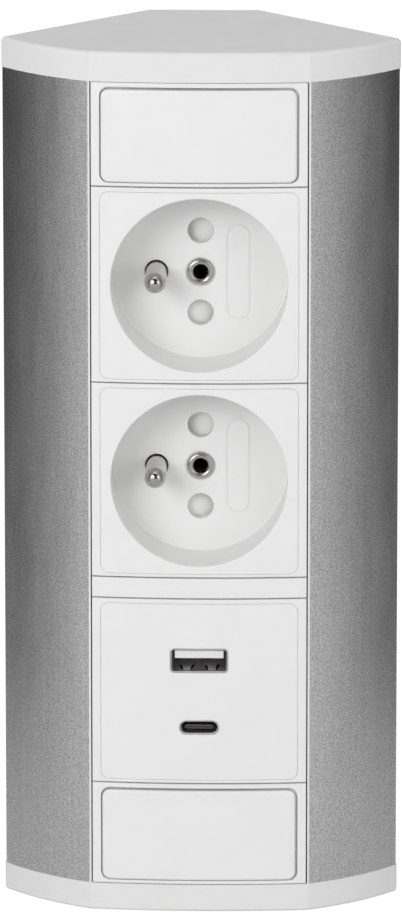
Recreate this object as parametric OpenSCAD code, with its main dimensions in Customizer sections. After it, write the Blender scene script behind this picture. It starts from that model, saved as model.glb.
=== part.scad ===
// Upright desk power socket for a corner: a curved aluminium profile with white end caps,
// a front channel of clip-in modules (two sockets with an earth pin, one USB charger, two
// blank plates and a filler strip) and the working parts behind them.
// +Z is up, the front faces -Y, and the origin is the middle of the footprint on the desk.

/* [Overall] */
// Width over the caps
body_w = 90; // [86:0.5:96]
// Depth from the front creases to the rear of the caps
body_d = 49.2; // [47:0.2:54]
// Width of the front between its two creases
front_w = 49.6; // [48:0.2:52]
// How far the curved front stands out in the middle
front_bulge = 1.5; // [1:0.1:2.2]
// Depth of the widest place behind the front creases
side_corner_d = 16.6; // [15:0.2:18]
// Width of the flat rear between its two slanted walls
back_w = 26; // [24:0.5:30]
// Radius of the curved side wings
wing_r = 56; // [44:1:70]
// Rounding of the side corners
corner_r = 1.5; // [0.8:0.1:3]

/* [Caps] */
// Height of the top cap
top_cap_h = 6.8; // [6.2:0.1:9]
// Height of the bottom cap
bottom_cap_h = 6.3; // [6:0.1:9]
// Side wall of both caps
cap_wall = 2; // [1.6:0.1:2.6]
// Flat plate of both caps
cap_plate = 2.2; // [1.8:0.1:2.6]
// How far the caps stand out past the profile
cap_overhang = 0.2; // [0.1:0.05:0.6]
// Rounding of the upper edge of the top cap
top_edge_r = 1.1; // [0.5:0.1:1.6]
// Rounding of the lower edge of the bottom cap
bottom_edge_r = 0.6; // [0.3:0.1:1.2]
// Radius of a boss in the caps
cap_boss_r = 4.6; // [4.4:0.1:5]
// Length of a peg of the top cap inside its screw port
peg_len = 9; // [5:0.5:14]

/* [Profile] */
// Outer wall of the profile
profile_wall = 1.8; // [1.5:0.1:2.2]
// Walls of the front channel
channel_wall = 1.5; // [1.2:0.1:2]
// Depth of the front channel
channel_d = 12; // [10:0.5:14]
// Depth at which the catch ribs start
rib_d = 4; // [3.6:0.1:5]
// Thickness of the catch ribs
rib_t = 1.4; // [1:0.1:2]
// How far the catch ribs stand into the channel
rib_w = 1; // [0.8:0.1:1.2]
// Outer radius of a screw port
port_r = 3.1; // [2.9:0.1:3.4]
// Bore radius of a screw port
port_bore_r = 1.8; // [1.6:0.1:2]
// Width of the slot along a screw port
port_slot_w = 1.2; // [0.8:0.1:1.6]

/* [Wall fixing] */
// Radius of the two wall fixing holes in the rear
fix_hole_r = 2.1; // [1.8:0.1:2.6]
// Distance from each end of the profile to its fixing hole
fix_hole_end = 12.2; // [10:0.2:14]

/* [Cable entry] */
// Height of the cable entry above the desk
entry_z = 36; // [30:1:44]
// Bore radius of the cable bushing
entry_bore_r = 3.7; // [3:0.1:4]
// Wall of the cable bushing
entry_wall = 1.5; // [1.2:0.1:1.8]
// Radius of the outer flange of the cable bushing
entry_flange_r = 7.4; // [6.8:0.1:8]
// Thickness of that flange
entry_flange_t = 1; // [0.8:0.1:1.6]
// Length of the bushing inside the profile
entry_inner_len = 4.6; // [4.2:0.1:5]
// Thickness of the bushing nut
entry_nut_t = 3.4; // [2.6:0.1:4]
// Radius over the corners of the bushing nut
entry_nut_r = 7.4; // [7:0.1:7.6]

/* [Modules] */
// Height of one socket module
socket_h = 45.2; // [44.6:0.1:47]
// Height of the charger module
usb_h = 43.5; // [43:0.1:46]
// Height of the filler strip
strip_h = 4.9; // [4:0.1:6]
// Height of one blank plate
blank_h = 24; // [23.6:0.1:27]
// Gap between two modules
module_gap = 0.25; // [0.1:0.05:0.4]
// Gap between a module and the side of the channel
side_gap = 0.45; // [0.3:0.05:0.7]
// Border of a frame at its sides
border_side = 1.95; // [1.8:0.05:2.3]
// Border of a frame at its top
border_top = 1.05; // [0.8:0.05:1.3]
// Border of a frame at its bottom
border_bottom = 0.75; // [0.6:0.05:1]
// Corner radius of the panels inside the frames
panel_r = 2; // [1.5:0.1:3]
// Gap around the panels of the sockets and of the charger
panel_gap = 0.08; // [0.05:0.01:0.2]
// Gap around the blank covers
blank_gap = 0.35; // [0.2:0.05:0.5]
// Depth of the back of the panels
panel_d = 1.2; // [1:0.1:1.6]
// Width of the ledge that the panels rest on
ledge_w = 1.6; // [1.2:0.1:2]
// Depth to which the frame skirts run
skirt_d = 8.4; // [8:0.1:9.5]
// Height of a catch hook
hook_h = 3.6; // [3:0.1:4]

/* [Socket] */
// Radius of the round recess
recess_r = 19.95; // [19.8:0.05:20.1]
// Depth of the round recess
recess_depth = 15; // [14.5:0.1:15.5]
// Wall of the recess
cup_wall = 1.2; // [1:0.05:1.3]
// Floor of the recess
floor_t = 2; // [1.6:0.1:2.4]
// Distance from the centre to each contact hole
contact_offset = 9.5; // [9.4:0.05:9.6]
// Radius of a contact hole
contact_hole_r = 2.95; // [2.8:0.05:3.1]
// Distance from the centre to the earth pin
earth_offset = 10; // [9.9:0.05:10.2]
// Radius of the earth pin
earth_pin_r = 2.4; // [2.3:0.05:2.5]
// How far the earth pin stands out of the floor
earth_pin_len = 14; // [13:0.1:14.4]
// Radius of the hole round the earth pin
earth_hole_r = 2.65; // [2.6:0.05:2.8]
// Radius of the rivet head
rivet_head_r = 3.15; // [3:0.05:3.3]
// Bore radius of the hollow rivet
rivet_bore_r = 1.6; // [1.4:0.05:1.7]
// Radius of the rivet tube
rivet_r = 2.45; // [2.4:0.05:2.6]
// How far the rolled rivet head stands out of its seat
rivet_head_h = 0.9; // [0.6:0.1:1.2]
// Radius of the seat round the rivet head
rivet_seat_r = 3.45; // [3.35:0.05:3.8]
// Depth of that seat
rivet_seat_depth = 0.25; // [0.1:0.05:0.5]
// Width of the raised label border beside the centre
label_w = 5.4; // [4.6:0.1:6]
// Length of the raised label border
label_len = 22; // [18:0.5:24]
// Distance from the centre to the label border
label_offset = 8.35; // [8:0.05:9.5]
// Height of the raised label border
label_rise = 0.25; // [0.15:0.05:0.4]
// Width of its line
label_line = 0.4; // [0.3:0.05:0.6]

/* [Shutter] */
// Thickness of the shutter
shutter_t = 2.4; // [2:0.1:2.8]
// Play in front of the shutter and behind it
shutter_play = 0.3; // [0.25:0.05:0.4]
// Radius of the shutter hub
hub_r = 4.6; // [4.2:0.1:4.8]
// Running clearance between the shutter and the rivet
hub_clearance = 0.05; // [0.03:0.01:0.08]
// Margin of a shutter pad round its contact hole
pad_margin = 0.75; // [0.5:0.05:1]
// Half the angle that a shutter pad covers
pad_half_angle = 21; // [19:0.5:23]
// Depth of the ramp across a shutter pad
ramp_depth = 1.5; // [1:0.1:1.8]
// Radius of the spring wire
spring_wire_r = 0.3; // [0.2:0.05:0.35]
// Mean radius of the spring
spring_r = 5.5; // [5.4:0.05:5.6]

/* [Contact base] */
// Width of the contact base
base_w = 41; // [41:0.2:43]
// Height of the contact base
base_h = 32; // [31:0.2:34]
// Corner radius of the contact base
base_corner_r = 3; // [2:0.2:4]
// Thickness of the web between the shutter and the contacts
web_t = 2.5; // [2.2:0.1:3]
// Depth of the contact chambers
chamber_depth = 13; // [12.6:0.1:13.6]
// Thickness of the base cover
base_cover_t = 1.5; // [1.2:0.1:2]
// Thickness of the brass contact strip
strip_t = 0.7; // [0.5:0.05:0.9]
// Height of the brass contact strip
strip_w = 6; // [5:0.2:6.6]
// Gap between the two contact leaves at rest
leaf_gap = 4.4; // [4.2:0.05:4.6]
// Length of the contact leaves
leaf_len = 9.5; // [8:0.1:9.8]
// Width of a terminal block
terminal_w = 6.4; // [6:0.1:6.5]
// Height of a terminal block
terminal_h = 7.2; // [6.8:0.1:7.4]
// Length of a terminal block
terminal_len = 9; // [8:0.1:9.2]
// Distance from the centre to the live terminal
live_terminal_x = 16; // [15.8:0.05:16.1]
// Distance from the centre to the neutral terminal
neutral_terminal_x = 10.5; // [10.2:0.05:11]
// Distance from the centre to the earth terminal
earth_terminal_x = 15.5; // [15.45:0.05:15.7]
// Thread radius of the terminal screws
terminal_screw_r = 1.65; // [1.4:0.05:1.7]

/* [Wires] */
// Radius of a copper conductor
core_r = 0.7; // [0.6:0.05:0.8]
// Radius over the insulation
jacket_r = 1.4; // [1.2:0.05:1.5]
// Bend radius of a wire along its middle
wire_bend_r = 2.2; // [2:0.1:2.4]

/* [Charger] */
// Height of the USB-A port above the middle of the charger
usb_a_rise = 7.25; // [6:0.05:8]
// Height of the USB-C port above the middle of the charger
usb_c_rise = -8.45; // [-9.5:0.05:-7]
// Width of the USB-A shell
usb_a_w = 13.1; // [13:0.05:13.3]
// Height of the USB-A shell
usb_a_h = 5.6; // [5.55:0.05:5.8]
// Width of the USB-A tongue
usb_a_tongue_w = 11.1; // [10.8:0.05:11.3]
// Thickness of the USB-A tongue
usb_a_tongue_t = 1.84; // [1.7:0.02:1.9]
// Width of the USB-C shell
usb_c_w = 8.94; // [8.9:0.02:9]
// Height of the USB-C shell
usb_c_h = 3.26; // [3.2:0.02:3.3]
// Width of the USB-C tongue
usb_c_tongue_w = 6.7; // [6.5:0.05:6.8]
// Thickness of the USB-C tongue
usb_c_tongue_t = 0.7; // [0.6:0.02:0.75]
// Sheet thickness of both shells
usb_sheet = 0.3; // [0.25:0.01:0.35]
// Clearance between a shell and the face
usb_gap = 0.06; // [0.04:0.01:0.1]
// How far the shells lie behind the face
usb_set_back = 0.35; // [0.2:0.05:0.6]
// Depth of the front of the circuit board
board_d = 15.5; // [15:0.1:16.5]
// Thickness of the circuit board
board_t = 1.6; // [1.2:0.1:1.8]
// Width and height of the circuit board
board_size = 37; // [36.6:0.2:37.4]
// Wall of the charger housing
housing_wall = 1.5; // [1.2:0.1:1.6]
// Room between an end of the charger housing and the end of its module
housing_end = 1.45; // [1.4:0.05:2]
// Depth of the rear of the charger housing
housing_back_d = 33; // [32:0.5:34]
// Width of the transformer
transformer_w = 15; // [12:0.5:15.5]
// Height of the transformer
transformer_h = 13; // [11:0.5:14]
// Length of the transformer behind the board
transformer_len = 12; // [9:0.5:13]
// Radius of a capacitor
capacitor_r = 4; // [3:0.25:4.25]
// Length of a capacitor
capacitor_len = 11; // [8:0.5:13]

/* [Hidden] */
$fn = 72;
// Sides of the large arcs in a preview
arc_sides = 720;
// Sides of small rounded edges and wires in a preview
edge_sides = 24;
// How far a cut runs past the surface that it opens
overrun = 1;
// How far two shapes of one piece run into each other
merge = 0.2;
// Gap between flat faces that rest on each other
seat_gap = 0.05;
// Clearance of a screw, peg or pin in its hole
hole_clearance = 0.1;
// Clearance of a loose piece in its pocket
pocket_clearance = 0.3;

// Outline of the caps in plan, with the depth measured back from the front creases
front_r = (pow(front_w / 2, 2) + pow(front_bulge, 2)) / (2 * front_bulge);
// How far a rounding stands past the faces that it joins
round_lap = 0.01;
corner_c = [body_w / 2 - corner_r - round_lap, side_corner_d];
slant_line = corner_c - [back_w / 2, body_d];
slant_share = corner_r / norm(slant_line);
slant_dir = (sqrt(1 - pow(slant_share, 2)) * [-slant_line[1], slant_line[0]]
    - slant_share * slant_line) / norm(slant_line);
slant_reach = slant_dir * [back_w / 2, body_d];
slant_turn = atan2(slant_dir[1], slant_dir[0]);
wing_start = [front_w / 2, 0];
wing_span = norm(corner_c - wing_start);
wing_along = (pow(wing_r, 2) - pow(wing_r - corner_r, 2) + pow(wing_span, 2)) / (2 * wing_span);
wing_dir = (corner_c - wing_start) / wing_span;
wing_c = wing_start + wing_along * wing_dir
    + sqrt(pow(wing_r, 2) - pow(wing_along, 2)) * [-wing_dir[1], wing_dir[0]];
corner_dir = (corner_c - wing_c) / (wing_r - corner_r);
half_lap = front_w / 4;

// Depth of the whole object and the place of the front creases in it
rear_d = max(body_d, body_d - cap_overhang + entry_flange_t);
front_y = front_bulge - (rear_d + front_bulge) / 2;

// Heights of the stack
blank_bottom_z = bottom_cap_h;
usb_z = blank_bottom_z + blank_h;
strip_z = usb_z + usb_h;
socket_2_z = strip_z + strip_h;
socket_1_z = socket_2_z + socket_h;
blank_top_z = socket_1_z + socket_h;
profile_top_z = blank_top_z + blank_h;
profile_len = profile_top_z - bottom_cap_h;

// Profile
channel_half = front_w / 2;
inner_inset = cap_overhang + profile_wall;
inner_rear_d = body_d - inner_inset;
outer_rear_d = body_d - cap_overhang;
front_port_x = channel_half + channel_wall + port_r - merge;
front_port_reach = wing_r - inner_inset - port_r + merge;
front_port_d = wing_c[1] - sqrt(pow(front_port_reach, 2) - pow(front_port_x - wing_c[0], 2));
rear_port_d = inner_rear_d - port_r + merge;
rear_port_x = slant_x(inner_inset + port_r - merge, rear_port_d);
ports = [[front_port_x, front_port_d], [rear_port_x, rear_port_d]];
fix_hole_zs = [bottom_cap_h + fix_hole_end, profile_top_z - fix_hole_end];

// Bottom cap screws
cap_screw_r = port_bore_r - hole_clearance;
cap_screw_head_r = 3.2;
cap_screw_head_h = 2;
cap_screw_seat_z = 3;
cap_screw_len = 14;
cross_reach_share = 0.6;
cross_half_share = 0.12;

// Frames, panels and hooks
module_w = front_w - 2 * side_gap;
flange_d = rib_d - 2 * seat_gap;
skirt_w = front_w - 2 * rib_w - 2 * merge;
panel_w = module_w - 2 * border_side;
hook_reach = rib_w - merge;
hook_d = rib_d + rib_t + seat_gap;
tall_hook_shares = [0.25, 0.75];
short_hook_shares = [0.5];
strip_block_w = 6;
clip_t = 1.2;
clip_h = 5;
clip_d = 5.6;
clip_hook = 0.5;

// Socket depths
floor_d = recess_depth - front_bulge;
floor_back_d = floor_d + floor_t;
cup_r = recess_r + cup_wall;
shutter_d = floor_back_d + shutter_play;
pocket_d = shutter_d + shutter_t + shutter_play;
chamber_d = pocket_d + web_t;
base_back_d = chamber_d + chamber_depth;
cover_back_d = base_back_d + seat_gap + base_cover_t;
socket_mid = socket_h / 2;
bearing_r = rivet_r + hub_clearance;
pad_r = contact_offset + contact_hole_r + pad_margin;
pocket_r = pad_r + 2 * pocket_clearance;
rivet_flare_r = rivet_head_r;
rivet_flare_t = 0.6;
rivet_boss_d = chamber_d + web_t;
rivet_well_r = rivet_flare_r + pocket_clearance;

// Spring of the shutter
spring_angle = 300;
spring_groove = spring_wire_r + pocket_clearance;
spring_d = pocket_d + spring_wire_r + pocket_clearance / 2;
spring_leg = 1.2;
spring_flat = 0.05;
spring_tuck = 4;

// Earth pin
pin_collar_r = 3.2;
pin_collar_t = 1.3;
pin_tenon_r = 1.5;
pin_tail_r = 2;
pin_tail_t = 0.8;
earth_plate_d = chamber_d + pocket_clearance;

// Contacts and terminals
chamber_half = terminal_h / 2 + pocket_clearance;
leaf_half = leaf_gap / 2 + strip_t;
contact_front_d = chamber_d + pocket_clearance;
contact_back_d = contact_front_d + leaf_len;
terminal_back_d = base_back_d - 2 * seat_gap;
terminal_front_d = terminal_back_d - terminal_len;
terminal_screw_d = terminal_front_d + terminal_len / 2;
screw_head_r = 2.5;
screw_head_t = 1.1;
tunnel_r = screw_head_r + pocket_clearance;
wire_pitch = terminal_h / 2;
wire_hole_r = core_r + 2 * hole_clearance;
jacket_hole_r = jacket_r + 2 * hole_clearance;
core_end_d = terminal_screw_d - terminal_screw_r;
jacket_end_d = terminal_back_d + seat_gap;

// Screws of the base covers
cover_screw_r = 1.1;
cover_screw_head_r = 2.1;
cover_screw_head_t = 1;
cover_screw_len = 7;
cover_screw_places = [
    [-base_w / 2 + base_corner_r + cover_screw_head_r, base_h / 2 - base_corner_r - cover_screw_head_r],
    [-base_w / 2 + base_corner_r + cover_screw_head_r, -base_h / 2 + base_corner_r + cover_screw_head_r],
    [neutral_terminal_x + cover_screw_head_r, 0],
];

// Depth of the wires that run down behind the modules, clear of those screws
wire_run_d = cover_back_d + pocket_clearance + max(wire_bend_r, seat_gap + cover_screw_head_t + jacket_r);

// Charger
usb_mid = usb_h / 2;
usb_a_z = usb_mid + usb_a_rise;
usb_c_z = usb_mid + usb_c_rise;
usb_front_d = usb_set_back - front_bulge;
usb_a_corner_r = 0.6;
usb_a_tongue_set_back = 0.9;
usb_a_tongue_drop = 0.35;
usb_a_contact_w = 1;
usb_a_contact_t = 0.2;
usb_a_contact_pitch = 2.25;
usb_a_window_half = 1.3;
usb_a_window_len = 5.5;
usb_a_window_d = 1;
usb_a_window_share = 0.25;
usb_c_tongue_set_back = 0.6;
usb_c_contact_w = 0.25;
usb_c_contact_t = 0.08;
usb_c_contact_pitch = 0.5;
usb_c_contact_pairs = 6;
usb_contact_len = 7;
board_back_d = board_d + board_t;
housing_w = board_size + 2 * pocket_clearance + 2 * housing_wall;
housing_h = usb_h - 2 * housing_end;
board_h = housing_h - 2 * housing_wall - 2 * pocket_clearance;
housing_front_d = flange_d + seat_gap;
post_r = 2;
post_inset = 3;
board_screw_r = 0.9;
board_screw_head_r = 1.7;
board_screw_head_t = 1;
board_screw_len = 7;
usb_terminal_w = 10.8;
usb_terminal_h = 7;
usb_terminal_len = 10;
usb_terminal_rise_share = 0.25;
usb_terminal_z = usb_mid + board_h * usb_terminal_rise_share;
usb_terminal_back_d = board_back_d + usb_terminal_len;
usb_core_d = board_back_d + usb_terminal_h / 2;
usb_bore_d = usb_core_d - wire_hole_r;
transformer_core_share = 0.25;
chip_w = 6;
chip_h = 4.4;
chip_t = 1.4;
chip_gap = 1;
// Heights of the middles of the capacitors and of the transformer above them
capacitor_z = usb_mid - board_h / 2 + post_inset + capacitor_r;
transformer_z = capacitor_z + capacitor_r + chip_gap + transformer_h / 2;

// Earth bond on the left slanted wall
bond_z = strip_z - blank_h / 2;
tag_t = 0.8;
tag_r = 4;
tag_barrel_r = 1.8;
tag_barrel_len = 5;
tag_neck_len = 3;
bond_screw_r = 1.9;
bond_head_r = 3.4;
bond_head_t = 2;

white = [0.93, 0.93, 0.92];
shade = [0.86, 0.86, 0.85];
silver = [0.62, 0.63, 0.64];
steel = [0.72, 0.72, 0.7];
brass = [0.8, 0.66, 0.32];
dark = [0.12, 0.12, 0.13];

// Puts a shape drawn in depths and heights into the row frame
module placed(z = 0) {
    translate([0, front_y, z]) children();
}

module at_socket(number) {
    placed(number == 1 ? socket_1_z : socket_2_z) children();
}

// Both sides of a shape drawn for the right
module both_sides() {
    children();
    mirror([1, 0, 0]) children();
}

// A flat shape in width and height, pushed through from one depth to another
module through(from_d, to_d) {
    translate([0, to_d, 0]) rotate([90, 0, 0]) linear_extrude(to_d - from_d) children();
}

// A shape turned round the depth axis at one depth, its upward direction facing the front
module turned(depth) {
    translate([0, depth, 0]) rotate([90, 0, 0]) rotate_extrude() children();
}

module rounded_rect(w, h, r) {
    square([w - 2 * r, h], center = true);
    square([w, h - 2 * r], center = true);
    for (side = [-1, 1], end = [-1, 1])
        translate([side * (w / 2 - r), end * (h / 2 - r)]) circle(r);
}

module ring(outer, inner) {
    difference() {
        circle(outer);
        circle(inner);
    }
}

// Where the slanted wall, drawn in by an inset, lies at one depth
function slant_x(inset, d) = (slant_reach - inset - slant_dir[1] * d) / slant_dir[0];

// Half of the plan outline, drawn in by an inset, with its round side corner
module half_plan(inset) {
    back = body_d - inset;
    difference() {
        intersection() {
            translate([0, front_r - front_bulge]) circle(front_r - inset, $fn = arc_sides);
            translate(wing_c) circle(wing_r - inset, $fn = arc_sides);
            polygon([[-half_lap, -front_w], [slant_x(inset, -front_w), -front_w],
                [slant_x(inset, back), back], [-half_lap, back]]);
        }
        if (inset < corner_r)
            corner_waste(corner_r - inset + round_lap);
    }
}

module corner_waste(r) {
    reach = 2 * corner_r;
    difference() {
        polygon([corner_c, corner_c + corner_dir * reach, corner_c + (corner_dir + slant_dir) * reach,
            corner_c + slant_dir * reach]);
        translate(corner_c) circle(r);
    }
}

module plan(inset) {
    half_plan(inset);
    mirror([1, 0]) half_plan(inset);
}

// Section of an edge that is rounded at its top, from an axis out to a reach
module edge_section(reach, h, r) {
    square([reach - r, h]);
    square([reach, h - r]);
    intersection() {
        translate([reach - r, h - r]) circle(r + round_lap, $fn = edge_sides);
        square([reach, h]);
    }
}

// A long bar with that section, its rounded face at zero depth and facing +Y
module edge_bar(h, r) {
    rotate([0, 0, 90]) rotate([90, 0, 0]) linear_extrude(4 * body_w, center = true)
        translate([-2 * body_w, 0]) edge_section(2 * body_w, h, r);
}

// Right half of a cap with its rounded edge on top: one solid for each stretch of the outline.
// The slanted wall is rounded a hair more than the rear, so the two creases end at different heights.
module half_cap(h, r) {
    difference() {
        intersection() {
            translate([0, front_r - front_bulge]) rotate_extrude($fn = arc_sides) edge_section(front_r, h, r);
            translate(wing_c) rotate_extrude($fn = arc_sides) edge_section(wing_r, h, r);
            translate([0, body_d]) edge_bar(h, r);
            translate(corner_c + corner_r * slant_dir) rotate([0, 0, slant_turn - 90])
                edge_bar(h, r + 2 * round_lap);
            translate([-half_lap, -front_w]) cube([body_w, body_d + 2 * front_w, h]);
        }
        difference() {
            reach = 2 * corner_r;
            translate([0, 0, -overrun]) linear_extrude(h + 2 * overrun)
                polygon([corner_c, corner_c + corner_dir * reach, corner_c + (corner_dir + slant_dir) * reach,
                    corner_c + slant_dir * reach]);
            translate(corner_c) rotate_extrude() edge_section(corner_r + round_lap, h, r);
        }
    }
}

module cap_block(h, r) {
    half_cap(h, r);
    mirror([1, 0, 0]) half_cap(h, r);
}

// Cap turned with its open side down: plate on top, bosses over the screw ports
module cap_shell(h, r) {
    difference() {
        cap_block(h, r);
        translate([0, 0, -overrun]) linear_extrude(h - cap_plate + overrun) difference() {
            plan(cap_wall);
            both_sides() for (port = ports) translate(port) circle(cap_boss_r);
        }
    }
}

module top_cap() {
    color(white) placed(profile_top_z) {
        cap_shell(top_cap_h, top_edge_r);
        both_sides() for (port = ports) translate([port[0], port[1], -peg_len])
            cylinder(h = peg_len + merge, r = port_bore_r - hole_clearance);
    }
}

module bottom_cap() {
    color(white) placed(bottom_cap_h) mirror([0, 0, 1]) difference() {
        cap_shell(bottom_cap_h, bottom_edge_r);
        both_sides() for (port = ports) translate([port[0], port[1], 0]) {
            translate([0, 0, -overrun])
                cylinder(h = bottom_cap_h + 2 * overrun, r = cap_screw_r + hole_clearance);
            translate([0, 0, bottom_cap_h - cap_screw_seat_z])
                cylinder(h = cap_screw_seat_z + overrun, r = cap_screw_head_r + hole_clearance);
        }
    }
}

module bottom_cap_screws() {
    color(steel) placed() both_sides() for (port = ports) translate([port[0], port[1], cap_screw_seat_z]) {
        cylinder(h = cap_screw_len, r = cap_screw_r);
        difference() {
            translate([0, 0, -cap_screw_head_h]) cylinder(h = cap_screw_head_h, r = cap_screw_head_r);
            screw_cross(cap_screw_head_r, cap_screw_head_h);
        }
    }
}

// Cross recess cut up into a head that hangs below zero
module screw_cross(head_r, head_h) {
    reach = head_r * cross_reach_share;
    half_w = head_r * cross_half_share;
    for (turn = [0, 90]) rotate([0, 0, turn]) translate([-reach, -half_w, -head_h - overrun])
        cube([2 * reach, 2 * half_w, overrun + head_h / 2]);
}

module profile_section() {
    difference() {
        union() {
            difference() {
                plan(cap_overhang);
                plan(inner_inset);
            }
            intersection() {
                plan(cap_overhang);
                both_sides() {
                    translate([channel_half, -front_bulge]) square([channel_wall, front_bulge + channel_d]);
                    translate([channel_half - rib_w, rib_d]) square([rib_w + channel_wall / 2, rib_t]);
                    for (port = ports) translate(port) circle(port_r);
                }
            }
        }
        translate([-channel_half, -2 * front_bulge]) square([front_w, rib_d + 2 * front_bulge]);
        both_sides() for (port = ports) translate(port) {
            circle(port_bore_r);
            port_slot(port);
        }
    }
}

// Slot of a screw port, opening along the depth into the hollow of the profile
module port_slot(port) {
    turn = port[1] < body_d / 2 ? 90 : -90;
    rotate(turn) translate([0, -port_slot_w / 2]) square([port_r + merge, port_slot_w]);
}

module aluminium_profile() {
    color(silver) placed() difference() {
        translate([0, 0, bottom_cap_h]) linear_extrude(profile_len) profile_section();
        through(inner_rear_d - overrun, outer_rear_d + overrun) {
            for (z = fix_hole_zs) translate([0, z]) circle(fix_hole_r);
            translate([0, entry_z]) circle(entry_bore_r + entry_wall + hole_clearance);
        }
        at_bond() translate([0, 0, -overrun])
            cylinder(h = profile_wall + 2 * overrun, r = bond_screw_r + hole_clearance);
    }
}

// How far the inner face of the slanted wall is from the earth wire
function bond_gap() = slant_reach - inner_inset - slant_dir * [earth_terminal_x, wire_run_d];

// The place of the earth bond: +Z runs outwards through the left slanted wall from its inner face
module at_bond() {
    foot = [earth_terminal_x, wire_run_d] + bond_gap() * slant_dir;
    translate([-foot[0], foot[1], bond_z]) rotate([0, 0, 90 - slant_turn]) rotate([-90, 0, 0]) children();
}

module cable_bushing() {
    color(dark) placed() difference() {
        translate([0, 0, entry_z]) union() {
            through(outer_rear_d, outer_rear_d + entry_flange_t) circle(entry_flange_r);
            through(inner_rear_d - entry_inner_len, outer_rear_d + merge) circle(entry_bore_r + entry_wall);
        }
        translate([0, 0, entry_z]) through(inner_rear_d - entry_inner_len - overrun, rear_d + overrun)
            circle(entry_bore_r);
    }
}

module bushing_nut() {
    color(dark) placed() translate([0, 0, entry_z])
        through(inner_rear_d - seat_gap - entry_nut_t, inner_rear_d - seat_gap) difference() {
            circle(entry_nut_r, $fn = 6);
            circle(entry_bore_r + entry_wall + hole_clearance);
        }
}

// A block with the curved front of the modules
module front_slab(w, h, back_d) {
    linear_extrude(h) intersection() {
        translate([0, front_r - front_bulge]) circle(front_r, $fn = arc_sides);
        translate([-w / 2, -2 * front_bulge]) square([w, back_d + 2 * front_bulge]);
    }
}

// Outline of the panel inside a module of one height, drawn in by an inset
module panel_outline(h, inset) {
    panel_h = h - module_gap - border_top - border_bottom;
    translate([0, module_gap / 2 + border_bottom + panel_h / 2])
        rounded_rect(panel_w - 2 * inset, panel_h - 2 * inset, panel_r - inset / 2);
}

module hooks(h, shares) {
    both_sides() for (share = shares) translate([0, 0, h * share - hook_h / 2]) linear_extrude(hook_h)
        polygon([[skirt_w / 2 - merge, hook_d], [skirt_w / 2 + hook_reach, hook_d], [skirt_w / 2, skirt_d],
            [skirt_w / 2 - merge, skirt_d]]);
}

// Frame of a module with a ledge inside: the child is the opening left in the ledge
module module_frame(h, shares) {
    frame_h = h - module_gap;
    difference() {
        translate([0, 0, module_gap / 2]) union() {
            front_slab(module_w, frame_h, flange_d);
            translate([-skirt_w / 2, flange_d - merge, 0])
                cube([skirt_w, skirt_d - flange_d + merge, frame_h]);
            hooks(frame_h, shares);
        }
        through(-2 * front_bulge, skirt_d + overrun) panel_outline(h, 0);
    }
    through(panel_d + seat_gap, flange_d) difference() {
        panel_outline(h, -merge);
        children();
    }
}

module panel_plate(h, gap) {
    intersection() {
        front_slab(module_w, h, panel_d);
        through(-2 * front_bulge, panel_d + overrun) panel_outline(h, gap);
    }
}

module blank_frame() {
    color(white) module_frame(blank_h, short_hook_shares) panel_outline(blank_h, ledge_w);
}

module blank_cover() {
    clip_x = panel_w / 2 - ledge_w - 2 * hole_clearance;
    color(white) {
        panel_plate(blank_h, blank_gap);
        both_sides() translate([0, 0, (blank_h - clip_h) / 2]) linear_extrude(clip_h)
            polygon([[clip_x - clip_t, panel_d - merge], [clip_x, panel_d - merge],
                [clip_x, flange_d + seat_gap], [clip_x + clip_hook, flange_d + seat_gap],
                [clip_x, clip_d], [clip_x - clip_t, clip_d]]);
    }
}

module filler_strip() {
    bar_h = strip_h - module_gap;
    color(white) translate([0, 0, module_gap / 2]) {
        front_slab(module_w, bar_h, flange_d);
        both_sides() translate([skirt_w / 2 - strip_block_w, flange_d - merge, 0])
            cube([strip_block_w, skirt_d - flange_d + merge, bar_h]);
        hooks(bar_h, short_hook_shares);
    }
}

module socket_frame() {
    color(white) module_frame(socket_h, tall_hook_shares)
        translate([0, socket_mid]) circle(cup_r + pocket_clearance);
}

module contact_places() {
    for (end = [-1, 1]) translate([0, end * contact_offset]) children();
}

module label_border() {
    end_r = label_w / 2 - seat_gap;
    difference() {
        rounded_rect(label_w, label_len, end_r);
        rounded_rect(label_w - 2 * label_line, label_len - 2 * label_line, end_r - label_line);
    }
}

module socket_face() {
    color(white) difference() {
        union() {
            panel_plate(socket_h, panel_gap);
            through(panel_d - merge, floor_back_d) translate([0, socket_mid]) circle(cup_r);
        }
        translate([0, 0, socket_mid]) {
            through(-2 * front_bulge, floor_d) circle(recess_r);
            through(floor_d - overrun, floor_back_d + overrun) {
                contact_places() circle(contact_hole_r);
                translate([-earth_offset, 0]) circle(earth_hole_r);
                circle(bearing_r);
            }
            through(floor_d - overrun, floor_d + rivet_seat_depth) circle(rivet_seat_r);
        }
    }
    color(white) through(floor_d - label_rise, floor_d + merge)
        translate([label_offset, socket_mid]) label_border();
}

module earth_pin() {
    tip_d = floor_d - earth_pin_len + earth_pin_r;
    color(steel) translate([-earth_offset, 0, socket_mid]) {
        translate([0, tip_d, 0]) sphere(earth_pin_r);
        through(tip_d, chamber_d) circle(earth_pin_r);
        through(pocket_d - seat_gap - pin_collar_t, pocket_d - seat_gap) circle(pin_collar_r);
        through(chamber_d - merge, earth_plate_d + strip_t + pin_tail_t) circle(pin_tenon_r);
        through(earth_plate_d + strip_t + seat_gap, earth_plate_d + strip_t + pin_tail_t) circle(pin_tail_r);
    }
}

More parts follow.
